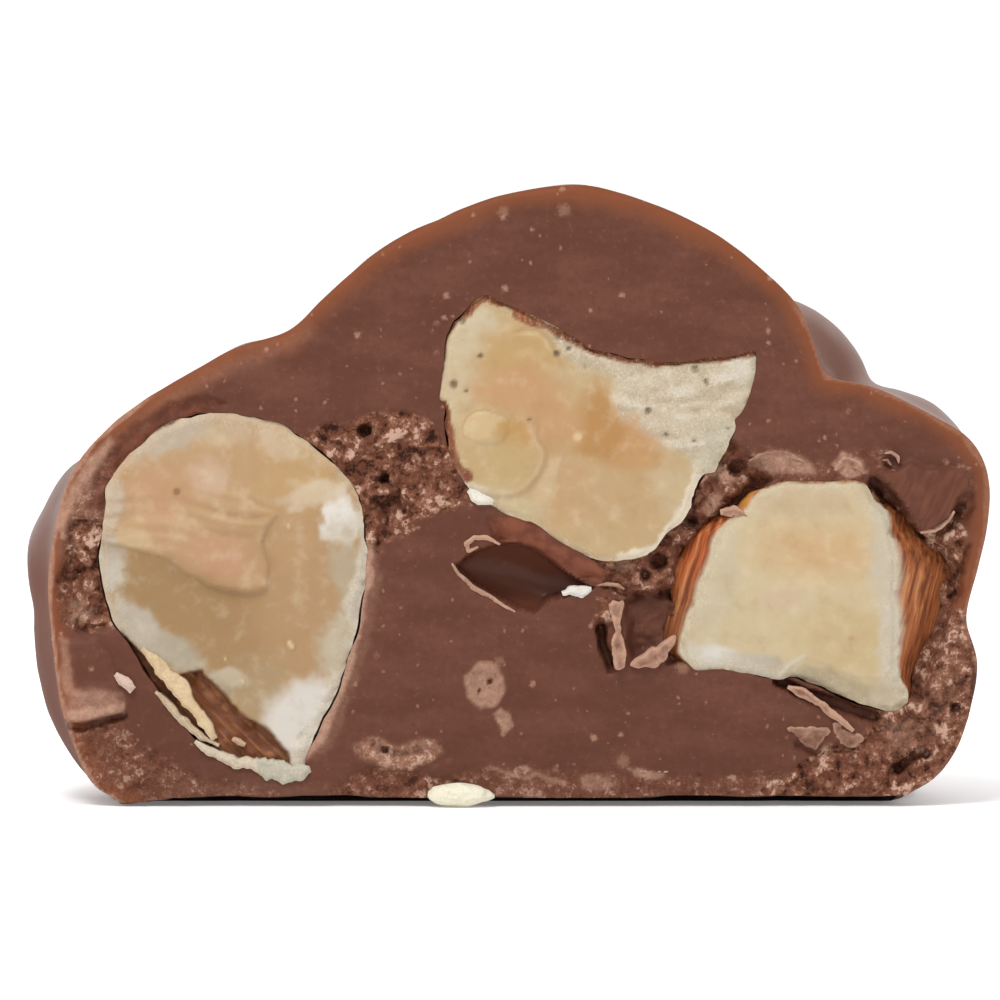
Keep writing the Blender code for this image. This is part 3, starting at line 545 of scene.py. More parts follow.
def smooth_outline(points, steps):
    """Points along a smooth closed curve through the given ones."""
    count = len(points)
    places = [np.array(point, float) for point in points]
    slopes = [(places[(i + 1) % count] - places[i - 1]) / 2.0 for i in range(count)]
    curve = []
    for i in range(count):
        after = (i + 1) % count
        for step in range(steps):
            t = step / steps
            t2, t3 = t * t, t * t * t
            point = places[i] * (2 * t3 - 3 * t2 + 1) + slopes[i] * (t3 - 2 * t2 + t)
            point = point + places[after] * (3 * t2 - 2 * t3) + slopes[after] * (t3 - t2)
            curve.append(tuple(point))
    return curve


def chocolate_cut(x, z):
    """The chocolate's cut face: its depth behind y = 0 in mm, and the masks that colour it."""
    wander = 0.20 * layered(x, z, 1.4, 3) + 0.16 * layered(x, z, 0.5, 4)
    depth = 0.035 * layered(x, 2.2 * z, 7.0, 5) + 0.010 * uneven(x * 0.3, z, 0.3, 6)
    broken = np.zeros(x.shape)
    crumb = np.full(x.shape, 0.5)
    pale = np.zeros(x.shape)
    shut = np.zeros(x.shape)
    for seed, (outline, away, rough, strong) in enumerate(BROKEN.values()):
        weight = ramp(inside(outline, x, z) + wander, -0.16, 0.26)
        if not weight.any():
            continue
        relief = crumble(x, z, 20 + seed)
        depth += weight * (away + rough * (relief - 0.5))
        strength = weight * strong
        # Darker where the crumbs lie deep and paler on their tops: painted shade in the crevices and painted
        # light on the tops
        crumb = crumb * (1 - strength) + strength * (1.0 - relief)
        broken = np.maximum(broken, strength)
    for outline, height in RAISED.values():
        weight = ramp(inside(outline, x, z) + 0.35 * wander, -0.05, 0.17)
        depth = depth * (1 - 0.85 * weight) - weight * height * (1.0 + 0.35 * layered(x, z, 1.1, 41))
        broken = broken * (1 - weight)
        shut = np.maximum(shut, weight)
    for line, half, deep in GROOVES.values():
        depth += deep * ramp(half * (1.0 + 2.0 * wander) - off_line(line, x, z), -0.10, 0.08)
    for middle, radius, deep, paleness in BUBBLES.values():
        reach = np.hypot(x - middle[0], z - middle[1]) / radius * (1.0 + 1.4 * wander)
        depth += deep * np.sqrt(np.clip(1.0 - reach * reach, 0.0, 1.0))
        weight = ramp(1.0 - reach, -0.05, 0.20)
        grains = random_at(whole(x * 9), whole(z * 9), 77)
        pale = pale * (1 - weight) + weight * paleness * (0.6 + 0.8 * grains)
    for outline, paleness, soft in PALE.values():
        weight = ramp(inside(outline, x, z) + 0.8 * wander, -soft, soft)
        pale = pale + (1 - pale) * weight * paleness

    # The hollow under the centre almond, and its roof, reddish and painted lighter as lit from below
    roof = ramp(inside(ROOF, x, z) + 0.3 * wander, -0.05, 0.25)
    depth = depth * (1 - roof) + roof * (0.15 + 0.8 * ramp(13.2 - 0.50 * (x + 0.4) - z, -0.2, 1.6))
    broken *= 1 - 0.8 * roof
    hollow = ramp(inside(HOLLOW_MOUTH, x, z) + 0.25 * wander, -0.06, 0.14)
    along, up = turned(x, z, HOLLOW_TILT, HOLLOW_MIDDLE)
    up = np.where(up > 0, up / HOLLOW_REACH[1], up / HOLLOW_REACH[2])
    bowl = np.sqrt(np.clip(1.0 - (along / HOLLOW_REACH[0]) ** 2 - up ** 2, 0.0, 1.0))
    depth = depth * (1 - hollow) + hollow * (0.15 + HOLLOW_DEPTH * bowl + 0.05 * layered(x, z, 1.0, 44))
    broken *= 1 - hollow
    pale *= 1 - hollow

    # The rounded rim, with a painted highlight just inside it at both ends, and the undercut above the base
    rim = inside(SECTION, x, z, 3.0)
    depth += 0.10 * ramp(-rim, -0.25, 0.05)
    lift = 0.38 + 0.08 * uneven(x, z * 0, 3.0, 8) - 0.32 * ramp(-x, 14.5, 17.5)
    depth += UNDERCUT * ramp(lift - z, -0.06, 0.10)
    ends = np.maximum(ramp(-x, 15.5, 17.0), ramp(x, 12.4, 13.4))
    # Paler just inside the rim near both ends: a painted highlight on the rounded edge
    painted_rim_highlight = ramp(0.20 + 0.3 * wander - rim, 0.0, 0.10) * ends
    pale = np.maximum(pale, np.where(x < 0, 0.50, 0.28) * painted_rim_highlight)
    # Near black along the base's front edge below the undercut's top: a painted contact shadow
    painted_contact_shadow = ramp(lift + 0.04 - z, -0.05, 0.10)

    band = 0.7 * ramp(inside(BROKEN["band_above_left_nut"][0], x, z) + wander, -0.1, 0.4)
    flap = ramp(inside(RAISED["flap_above_right_nut"][0], x, z), -0.1, 0.2)
    return depth, dict(rim=np.clip(rim, 0, 3), broken=broken, crumb=crumb, pale=pale, hollow=hollow,
                       red_band_and_lit_roof=np.maximum(roof * (1 - hollow), band), shut=shut * flap, painted_contact_shadow=painted_contact_shadow)


def seen(shade):
    """The linear colour of a surface that looks like an 8-bit screen colour in the scene's light."""
    parts = [part / 255.0 for part in shade]
    linear = [part / 12.92 if part <= 0.04045 else ((part + 0.055) / 1.055) ** 2.4 for part in parts]
    return (*[min(part / LIGHT, 0.9) for part in linear], 1.0)


def plain(points, shade):
    """One screen colour for every point."""
    return np.tile(np.array(seen(shade)[:3]), (len(points), 1))


def over(tone, *layers):
    """The tones with screen colours laid over them in turn, each by its weight."""
    for shade, weight in layers:
        tone = tone + np.clip(weight, 0, 1)[:, None] * (np.array(seen(shade)[:3]) - tone)
    return tone


def blotted(tone, x, z, patches, small, broad):
    """The tones with soft-edged patches over them; small patches and broad ones wander differently."""
    for middle, (wide, tall), turn, soft, shade, strength in patches:
        along, across = turned(x, z, math.radians(turn), middle)
        fuzz = small if min(wide, tall) < SMALL_PATCH else broad
        reach = np.hypot(along / wide, across / tall) + fuzz
        tone = over(tone, (shade, strength * ramp(reach, 1.0 + soft / 2, 1.0 - soft / 2)))
    return tone


def painted(x, z, base, patches, seed):
    """A colour for each point: the base colour with soft-edged, uneven patches over it."""
    broad = 0.30 * layered(x, z, 2.3, seed) + 0.14 * layered(x, z, 0.45, seed + 1)
    small = 0.45 * layered(x, z, 1.1, seed + 2) + 0.34 * layered(x, z, 0.30, seed + 3)
    return blotted(plain(x, base), x, z, patches, small, broad)


def spot(x, z, middle, radius, soft):
    """1 in a small round spot and 0 outside it."""
    return ramp(radius - np.hypot(x - middle[0], z - middle[1]), -soft, soft)


def left_nut_cut(x, z):
    """A raised flap above, a glassy facet below it, pale edges and a broken rim with its skin."""
    flap_edge = inside(LEFT_FLAP, x, z) + 0.07 * layered(x, z, 0.8, 51)
    sharp = ramp(14.6 - z, 0.0, 0.8)
    flap = ramp(flap_edge, -0.06, 0.16) * sharp + ramp(flap_edge, -0.8, 0.8) * (1 - sharp)
    flesh = ramp(inside(LEFT_FLESH, x, z) + 0.14 * layered(x, z, 0.6, 52), -0.05, 0.16)
    edge = inside(LEFT_NUT, x, z, 3.0)
    rough = layered(x, z, 0.45, 53)
    facet = ramp(np.hypot((x + 11.0) / 4.6, (z - 8.2) / 6.2), 1.1, 0.3)
    band = ramp(z, 12.0, 12.6) * ramp(15.2 - z, 0.0, 0.8)
    lines = uneven(x * 0.10, z + 0.10 * x + 0.25 * np.sin(x * 0.9), 0.30, 54)
    rim = ramp(0.75 + 0.35 * layered(x, z, 1.0, 56) - edge, -0.3, 0.6)
    right_side = ramp(x - 0.25 * z, -12.4, -11.4) * ramp(14.0 - z, 0.0, 1.0)
    torn = right_side * ramp(0.55 + 0.8 * layered(x, z, 1.3, 60) - edge, -0.05, 0.30)
    glassy = np.zeros(x.shape)
    for cx, cz, half in ((-9.9, 7.45, 0.20), (-12.1, 5.75, 0.12), (-12.9, 6.8, 0.10), (-10.0, 12.9, 0.12)):
        reach = np.hypot((x - cx) * 1.6 + (z - cz) * 0.7, z - cz)
        glassy = np.maximum(glassy, ramp(half - reach, -0.07, 0.07))

    depth = -0.06 - 0.15 * flap + 0.14 * facet * (1 - flap)
    depth += 0.030 * (0.4 + band) * lines * flap
    depth += 0.03 * layered(x, z, 1.8, 55) + 0.008 * uneven(x, z, 0.25, 58)
    depth += 0.08 * rough * rim + 0.13 * ramp(0.34 - edge, 0.0, 0.34)
    depth = depth * flesh + (1 - flesh) * (0.70 + 0.35 * layered(x, z, 0.8, 57))
    depth += 0.10 * torn * rough - 0.10 * glassy

    # Along the flap's lower edge: a painted highlight on its rim and a painted shadow in a band below it
    painted_ridge_highlight = ramp(0.16 - np.abs(flap_edge), 0.0, 0.14) * sharp
    shade = ramp(0.9 + flap_edge, 0.0, 0.9) * (1 - flap) * sharp
    tone = over(
        painted(x, z, (190, 156, 114), LEFT_PATCHES, 151),
        ((224, 206, 180), 0.40 * ramp(0.30 - edge + 0.2 * rough, -0.1, 0.2)),
        ((226, 220, 208), 0.75 * torn),
        # painted highlight on the flap's edge, then painted shadow below it
        ((220, 188, 152), 0.45 * painted_ridge_highlight * flap),
        ((158, 124, 82), 0.50 * shade * ramp(11.5 - x, 22.0, 24.0)),
        ((176, 134, 96), 0.40 * band * flap * ramp(lines, 0.1, 0.7)),
        ((224, 192, 152), 0.40 * band * flap * ramp(-lines, 0.1, 0.7)),
        ((150, 108, 76), 0.9 * spot(x, z, (-15.1, 14.5), 0.17, 0.07)),
        ((236, 214, 168), 0.9 * glassy))
    mottle = ramp(layered(x + z, (z - x) * 0.3, 0.6, 59), 0.0, 0.8)
    bark = over(plain(x, (142, 86, 54)), ((184, 122, 82), mottle))
    tone = tone * flesh[:, None] + bark * (1 - flesh)[:, None]
    crust = ramp(0.15 * (1 + 0.7 * rough) - off_line(LEFT_TOP_SKIN, x, z), -0.06, 0.06)
    tone = over(tone, ((84, 48, 34), crust))
    return depth, dict(tone=tone, skin=1 - flesh, porous=np.maximum(0.5 * rim, 0.8 * torn) * flesh)


def centre_nut_cut(x, z):
    """Porous pale flesh at the right, shell-shaped chips at the left and a toasted middle."""
    porous = ramp(inside(CENTRE_POROUS, x, z) + 0.45 * layered(x, z, 0.9, 61), -0.3, 0.5)
    warm = ramp(inside(CENTRE_TOASTED, x, z) + 0.30 * layered(x, z, 1.1, 78), -0.30, 0.60)
    edge = inside(CENTRE_NUT, x, z, 3.0)
    number, off = cells(x, z, 0.40, 62)
    holes = ramp(number, 0.93, 0.98) * ramp(off + 0.5 * layered(x, z, 0.3, 77), 0.40, 0.10) * porous
    streaks = uneven(x * 0.22, z - 0.05 * (x - 7.5) ** 2, 0.26, 64)
    fine = layered(x, z, 0.4, 75)
    depth = -0.06 + 0.04 * layered(x, z, 1.5, 63) + 0.008 * uneven(x, z, 0.25, 76)
    depth += 0.16 * holes + 0.030 * porous * (streaks + fine)

    # Three chips, each with the side that its step is seen from
    shell_reach = np.hypot((x + 0.25) / 1.85, (z - 16.3) / 1.95) + 0.14 * layered(x, z, 1.1, 65)
    low_right = ramp(0.8 * (x + 0.25) - 0.6 * (z - 16.3), -0.2, 0.9)
    shell = ramp(1.0 - shell_reach, -0.02, 0.09) * low_right
    flap_reach = np.hypot((x - 0.7) / 1.65, (z - 20.0) / 1.85) + 0.12 * layered(x, z, 1.1, 72)
    up_right = ramp(0.55 * (x - 0.7) + 0.83 * (z - 20.0), 0.9, 1.7)
    flap = ramp(1.0 - flap_reach, -0.02, 0.10) * up_right
    chip_reach = np.hypot((x + 0.95) / 1.05, (z - 17.4) / 0.75) + 0.15 * layered(x, z, 0.5, 66)
    up_left = ramp(0.5 * (x + 0.95) - 0.9 * (z - 17.4), 0.4, -0.4)
    chip = ramp(1.0 - chip_reach, -0.03, 0.12)
    depth -= 0.10 * shell + 0.08 * chip + 0.09 * flap

    facet = ramp(x - 2.35 - 0.35 * (z - 15.3), -0.08, 0.12) * ramp(16.6 - z, 0.0, 0.6)
    rim = ramp(0.55 + 0.35 * layered(x, z, 0.9, 67) - edge, -0.2, 0.4)
    depth += 0.07 * facet + 0.12 * ramp(0.28 - edge, 0.0, 0.28) + 0.05 * rim * layered(x, z, 0.35, 68)
    patchy = streaks + 0.7 * fine
    tone = over(
        painted(x, z, (207, 182, 140), CENTRE_PATCHES, 161),
        ((194, 148, 90), 0.88 * warm),
        ((212, 170, 122), 0.80 * warm * ramp(x - 0.6 * (z - 16.0), 4.4, 5.8)),
        ((220, 210, 190), 0.85 * porous * (1 - 0.8 * warm)),
        ((192, 178, 154), 0.60 * porous * ramp(patchy, 0.1, 0.8)),
        ((240, 235, 224), 0.60 * porous * ramp(-patchy, 0.2, 0.9)),
        # darker in the carved pores: painted shade in them
        ((150, 134, 112), 0.75 * holes))
    fuzz = 0.36 * layered(x, z, 1.2, 171) + 0.20 * layered(x, z, 0.35, 172)
    tone = blotted(tone, x, z, CENTRE_TOP_PATCHES, fuzz, fuzz)
    # Along the seen side of each chip's step: a painted highlight just inside its edge and a painted shadow
    # just outside it
    for reach, side in ((shell_reach, low_right), (flap_reach, up_right), (chip_reach, up_left)):
        tone = over(
            tone,
            ((232, 212, 174), 0.42 * side * ramp(0.06 - np.abs(reach - 0.94), -0.02, 0.06)),
            ((170, 130, 86), 0.34 * side * ramp(0.07 - np.abs(reach - 1.06), -0.04, 0.07)))

    # Pale edges, dark specks and what is left of the skin
    low_edge = ramp(0.9 - off_line(CENTRE_LOW_EDGE, x, z), 0.0, 0.3)
    fringe = ramp(0.30 + 0.32 * layered(x, z, 0.6, 79) - edge, -0.06, 0.10) * low_edge
    specks = np.zeros(x.shape)
    for cx, cz, half in CENTRE_SPECKS:
        reach = np.hypot(x - cx, z - cz) * (1 + 0.5 * layered(x, z, 0.3, 74))
        specks = np.maximum(specks, ramp(half - reach, -0.06, 0.06))
    skin = np.zeros(x.shape)
    for line, width in CENTRE_SKIN:
        reach = width * (1 + 0.9 * layered(x, z, 0.7, 71)) - off_line(line, x, z)
        skin = np.maximum(skin, ramp(reach, -0.06, 0.06))
    depth += 0.12 * specks + 0.10 * skin - 0.07 * fringe
    tone = over(
        tone,
        ((226, 208, 180), 0.45 * ramp(0.26 - edge, -0.05, 0.2)),
        ((242, 234, 216), 0.85 * fringe),
        ((112, 88, 62), 0.8 * specks),
        ((234, 206, 164), 0.9 * spot(x, z, (3.25, 17.0), 0.20, 0.08)),
        ((150, 84, 48), skin))
    return depth, dict(tone=tone, skin=0.8 * skin, porous=np.clip(porous + 0.5 * rim, 0, 1))


def right_nut_cut(x, z):
    """Pale flesh, tan in the middle, with rough pale edges and a worn lower rim."""
    edge = inside(RIGHT_NUT, x, z, 3.0)
    fold = inside(RIGHT_FOLD, x, z)
    rim = ramp(0.55 + 0.45 * layered(x, z, 0.8, 82) - edge, -0.25, 0.35)
    depth = -0.08 + 0.035 * layered(x, z, 2.0, 81) + 0.008 * uneven(x, z, 0.25, 88)
    depth += 0.30 * ramp(fold, 0.0, 1.1) + 0.06 * ramp(fold, -0.05, 0.08)
    depth += 0.07 * rim * layered(x, z, 0.35, 83) + 0.13 * ramp(0.26 - edge, 0.0, 0.26)
    skin_width = 0.13 * (1 + 0.8 * layered(x, z, 0.8, 85))
    skin = ramp(skin_width - off_line(RIGHT_TOP_SKIN, x, z), -0.05, 0.05)
    tone = over(
        painted(x, z, (219, 203, 168), RIGHT_PATCHES, 181),
        ((224, 214, 192), 0.42 * rim),
        ((236, 232, 216), 0.6 * ramp(0.10 - off_line(RIGHT_FOLD_EDGE, x, z), -0.04, 0.05)),
        ((196, 160, 108), 0.6 * spot(x, z, (15.8, 7.75), 0.14, 0.08)),
        ((158, 96, 54), skin))
    return depth, dict(tone=tone, skin=0.7 * skin, porous=0.6 * rim)


def skin_tone(node, x, z):
    """An almond's skin; the right one's is darker and redder at the left, and light at its top corner."""
    tone = plain(x, SKINS[node])
    if node != "almond_right":
        return tone
    left = ramp(12.0 - x, 0.0, 2.0)
    corner = ramp(1.3 - np.hypot(x - 11.2, z - 14.6), 0.0, 0.6)
    return over(
        tone,
        ((152, 90, 54), left),
        # redder and brighter higher up the left side: partly the skin's orange and partly painted light
        # against the shade there
        ((190, 98, 50), left * ramp(z, 8.6, 11.6)),
        ((224, 152, 70), corner))


def select_only(obj):
    bpy.ops.object.select_all(action="DESELECT")
    obj.select_set(True)
    bpy.context.view_layer.objects.active = obj


def coordinates(obj):
    flat = np.empty(len(obj.data.vertices) * 3)
    obj.data.vertices.foreach_get("co", flat)
    return flat.reshape(-1, 3)


def set_coordinates(obj, places):
    obj.data.vertices.foreach_set("co", np.ascontiguousarray(places, float).ravel())
    obj.data.update()


def edit(operation=None, everything=True, **settings):
    """Selects all of the active mesh, unless told not to, and runs an operation on the selection."""
    bpy.ops.object.mode_set(mode="EDIT")
    if everything:
        bpy.ops.mesh.select_all(action="SELECT")
    if operation:
        operation(**settings)
    bpy.ops.object.mode_set(mode="OBJECT")


def face_out():
    """Turns the active mesh's faces outwards."""
    edit(bpy.ops.mesh.normals_make_consistent, inside=False)


def drawn(obj, step, everything=False):
    """Extrudes the active mesh along its depth: where its points are then, and which are new."""
    edit(bpy.ops.mesh.extrude_region_move, everything, TRANSFORM_OT_translate={"value": (0.0, step, 0.0)})
    places = coordinates(obj)
    fresh = np.zeros(len(places), bool)
    obj.data.vertices.foreach_get("select", fresh)
    return places, fresh


def apply_all(obj):
    select_only(obj)
    for modifier in list(obj.modifiers):
        bpy.ops.object.modifier_apply(modifier=modifier.name)


def flat_shape(name, outline, y):
    """A flat face of the outline's shape, facing along the cut's depth."""
    bpy.ops.object.select_all(action="DESELECT")
    bpy.ops.mesh.primitive_circle_add(vertices=len(outline), radius=1.0, fill_type="NGON")
    shape = bpy.context.active_object
    shape.name = name
    set_coordinates(shape, np.array([(x, y, z) for x, z in outline]))
    edit()
    return shape


def draw_back(shape, last, outline, step):
    """Extrudes the selected face back by a step and gives its edge a new outline."""
    places, fresh = drawn(shape, step)
    x, y, z = places[fresh].T
    last, outline = np.array(last), np.array(outline)
    order = np.hypot(x[:, None] - last[:, 0], z[:, None] - last[:, 1]).argmin(axis=1)
    places[fresh] = np.column_stack((outline[order, 0], y, outline[order, 1]))
    set_coordinates(shape, places)


def knife(box, cell, cut):
    """A block in front of the cut surface over a box of (left, right, low, high) in mm."""
    left, right, low, high = box
    columns, rows = round((right - left) / cell), round((high - low) / cell)
    bpy.ops.object.select_all(action="DESELECT")
    bpy.ops.mesh.primitive_grid_add(x_subdivisions=columns, y_subdivisions=rows, size=2.0)
    block = bpy.context.active_object
    places = coordinates(block)
    x = (left + right) / 2 + places[:, 0] * (right - left) / 2
    z = (low + high) / 2 + places[:, 1] * (high - low) / 2
    set_coordinates(block, np.column_stack((x, cut(x, z)[0], z)))
    places, fresh = drawn(block, -1.0, everything=True)
    places[fresh, 1] = -2 * OVERRUN
    set_coordinates(block, places)
    face_out()
    return block


def cut_away(obj, cutter):
    modifier = obj.modifiers.new("cut", "BOOLEAN")
    modifier.operation = "DIFFERENCE"
    modifier.solver = "MANIFOLD"
    modifier.object = cutter
    apply_all(obj)
    bpy.data.objects.remove(cutter)


def poured_body():
    """The whole skin: the lumps and the cut's outline, run together and cut flat underneath."""
    outline = smooth_outline(SECTION, 4)
    body = flat_shape("chocolate_body", outline, -OVERRUN)
    draw_back(body, outline, outline, OVERRUN + SECTION_DEPTH)
    face_out()
    lumps = []
    for centre, half, turn in LUMPS.values():
        bpy.ops.mesh.primitive_uv_sphere_add(
            segments=LUMP_SEGMENTS, ring_count=LUMP_RINGS, radius=1.0, location=centre,
            rotation=[math.radians(angle) for angle in turn], scale=half)
        lumps.append(bpy.context.active_object)
    bpy.ops.object.select_all(action="DESELECT")
    for obj in (*lumps, body):
        obj.select_set(True)
    bpy.context.view_layer.objects.active = body
    bpy.ops.object.join()
    remesh = body.modifiers.new("one_skin", "REMESH")
    remesh.mode = "VOXEL"
    remesh.voxel_size = BODY_CELL
    pour = body.modifiers.new("poured", "SMOOTH")
    pour.factor = 0.5
    pour.iterations = POUR_STEPS
    swell = bpy.data.textures.new("swells", "CLOUDS")
    swell.noise_scale = SWELL_SIZE
    waves = body.modifiers.new("swells", "DISPLACE")
    waves.texture = swell
    waves.strength = SWELL_HEIGHT
    waves.mid_level = 0.5
    apply_all(body)
    edit(bpy.ops.mesh.bisect, plane_co=(0, 0, 0), plane_no=(0, 0, 1), use_fill=True, clear_inner=True)
    return body


def almond_form(name, outline, depth, grow=None, torn=0.0):
    """An almond from in front of the cut back to its rounded far end.

    It is grown by grow(x, z) mm all round, and its outline is nicked by up to torn mm.
    """
    points = np.array(smooth_outline(outline, 6))
    middle = points.mean(axis=0)
    x, z = points.T
    extra = 0.12 * layered(x, z, 0.7, 91) - torn * ramp(layered(x, z, 0.9, 93), 0.1, 0.6)
    if grow:
        extra = extra + grow(x, z)
    spokes = points - middle
    spokes = spokes * (1.0 + extra / np.hypot(spokes[:, 0], spokes[:, 1]))[:, None]
    flare = np.zeros(len(points))
    right_half = x > middle[0]
    if outline is RIGHT_NUT:
        wide = np.where(right_half, np.interp(z, *RIGHT_FLARE["right"]), -np.interp(z, *RIGHT_FLARE["left"]))
        flare = ramp(np.abs(x - middle[0]), 1.2, 3.2) * wide
    last = spokes + middle
    form = flat_shape(name, last, -OVERRUN)
    place = -OVERRUN
    for station in ALMOND_STATIONS:
        y = station * depth
        tall = math.sqrt(1.0 - (FAR_END * station) ** 2)
        flared = np.where(right_half, min(1.0, y / FLARE_DEPTH) ** 0.85, min(1.0, y / (0.6 * FLARE_DEPTH)))
        ring = middle + spokes * tall + np.column_stack((flare * flared * tall, 0 * flare))
        draw_back(form, last, ring, y - place)
        last, place = ring, y
    face_out()
    return form


def paint(obj, masks):
    """Gives each point of a piece the numbers and colours that its material reads."""
    for name, values in masks.items():
        kind, part = ("FLOAT_COLOR", "color") if values.ndim == 2 else ("FLOAT", "value")
        if values.ndim == 2:
            values = np.column_stack((values, np.ones(len(values)))).ravel()
        layer = obj.data.attributes.new(name, kind, "POINT")
        layer.data.foreach_set(part, np.ascontiguousarray(values, np.float32))


def finish_piece(obj, name, materials, node=None):
    """Names a piece, shades it smooth, and moves it onto its solid at real size."""
    obj.name = name
    obj.data.name = name
    obj.data.materials.clear()
    for material in materials:
        obj.data.materials.append(material)
    select_only(obj)
    bpy.ops.object.shade_smooth_by_angle(angle=SHARP_ANGLE)
    obj.data.transform(Matrix.Translation(ORIGIN) @ Matrix.Scale(MM, 4))
    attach(obj, "root")
    if node:
        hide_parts(node)


class Field:
    """A shader socket whose arithmetic adds Math nodes."""

    def __init__(self, tree, socket):
        self.tree = tree
        self.socket = socket

    def math(self, operation, *others, first=None):
        node = self.tree.nodes.new("ShaderNodeMath")
        node.operation = operation
        items = (self, *others) if first is None else (first, self)
        for place, item in zip(node.inputs, items):
            if isinstance(item, Field):
                self.tree.links.new(item.socket, place)
            else:
                place.default_value = item
        return Field(self.tree, node.outputs[0])

    def __add__(self, other):
        return self.math("ADD", other)

    def __radd__(self, other):
        return self.math("ADD", other)

    def __sub__(self, other):
        return self.math("SUBTRACT", other)

    def __rsub__(self, other):
        return self.math("SUBTRACT", first=other)

    def __mul__(self, other):
        return self.math("MULTIPLY", other)

    def __rmul__(self, other):
        return self.math("MULTIPLY", other)

    def between(self, low, high):
        """0 at low and 1 at high, soft between and flat beyond."""
        node = self.tree.nodes.new("ShaderNodeMapRange")
        node.interpolation_type = "SMOOTHSTEP"
        self.tree.links.new(self.socket, node.inputs["Value"])
        node.inputs["From Min"].default_value = low
        node.inputs["From Max"].default_value = high
        return Field(self.tree, node.outputs[0])


class Nodes:
    """A node tree in the making."""

    def __init__(self, tree):
        self.tree = tree

    def node(self, kind, inputs=None, output=0, **settings):
        made = self.tree.nodes.new(kind)
        for name, value in settings.items():
            setattr(made, name, value)
        for name, value in (inputs or {}).items():
            if isinstance(value, Field):
                self.tree.links.new(value.socket, made.inputs[name])
            else:
                made.inputs[name].default_value = value
        return Field(self.tree, made.outputs[output])


class Finish(Nodes):
    """A material in the making; sizes and reaches are in mm."""

    def __init__(self, name):
        self.material = bpy.data.materials.new(name)
        self.material.use_nodes = True
        super().__init__(self.material.node_tree)
        self.shader = self.tree.nodes["Principled BSDF"]
        self.place = self.node("ShaderNodeTexCoord", output="Object")

    def mask(self, name):
        return self.node("ShaderNodeAttribute", output="Fac", attribute_name=name)

    def tone(self):
        return self.node("ShaderNodeAttribute", output="Color", attribute_name="tone")

    def stretched(self, x, y, z, lean=0.0):
        inputs = {"Vector": self.place, "Rotation": (0.0, lean, 0.0), "Scale": (x, y, z)}
        return self.node("ShaderNodeMapping", inputs, vector_type="TEXTURE")

    def noise(self, size, detail=3.0, rough=0.5, place=None, output=0):
        inputs = {"Vector": place or self.place, "Scale": 1.0 / (size * MM), "Detail": detail,
                  "Roughness": rough}
        return self.node("ShaderNodeTexNoise", inputs, output)

    def flat(self):
        """Places on the cut face alone, whatever their depth."""
        x = self.node("ShaderNodeSeparateXYZ", {"Vector": self.place}, "X")
        z = self.node("ShaderNodeSeparateXYZ", {"Vector": self.place}, "Z")
        return self.node("ShaderNodeCombineXYZ", {"X": x, "Y": z})

    def jittered(self, size, reach, place=None):
        """Places pushed about by up to half of reach, in waves of a size."""
        push = self.noise(size, 2.0, 0.5, output="Color")
        centred = self.node("ShaderNodeVectorMath", {0: push, 1: (0.5, 0.5, 0.5)}, operation="SUBTRACT")
        scaled = self.node("ShaderNodeVectorMath", {0: centred, "Scale": reach * MM}, operation="SCALE")
        return self.node("ShaderNodeVectorMath", {0: place or self.place, 1: scaled}, operation="ADD")

    def cells(self, size, place=None, dimensions="3D"):
        """How far off its cell's middle a point lies, and the cell's own number."""
        inputs = {"Vector": place or self.place, "Scale": 1.0 / (size * MM)}
        off = self.node("ShaderNodeTexVoronoi", inputs, "Distance", voronoi_dimensions=dimensions)
        colour = Field(self.tree, off.socket.node.outputs["Color"])
        return off, self.node("ShaderNodeSeparateColor", {"Color": colour}, "Red")

    def mix(self, base, *layers):
        """A colour with others laid over it in turn, each by its weight; tuples are screen colours."""
        for shade, weight in layers:
            base, shade = [seen(item) if isinstance(item, tuple) else item for item in (base, shade)]
            inputs = {MIX_FACTOR: weight, MIX_FIRST: base, MIX_SECOND: shade}
            base = self.node("ShaderNodeMix", inputs, MIX_RESULT, data_type="RGBA")
        return base

    def set(self, values):
        for name, value in values.items():
            socket = self.shader.inputs[name]
            if isinstance(value, Field):
                self.tree.links.new(value.socket, socket)
            else:
                socket.default_value = value

    def bump(self, height, strength, distance):
        inputs = {"Height": height, "Strength": strength, "Distance": distance * MM}
        self.set({"Normal": self.node("ShaderNodeBump", inputs)})


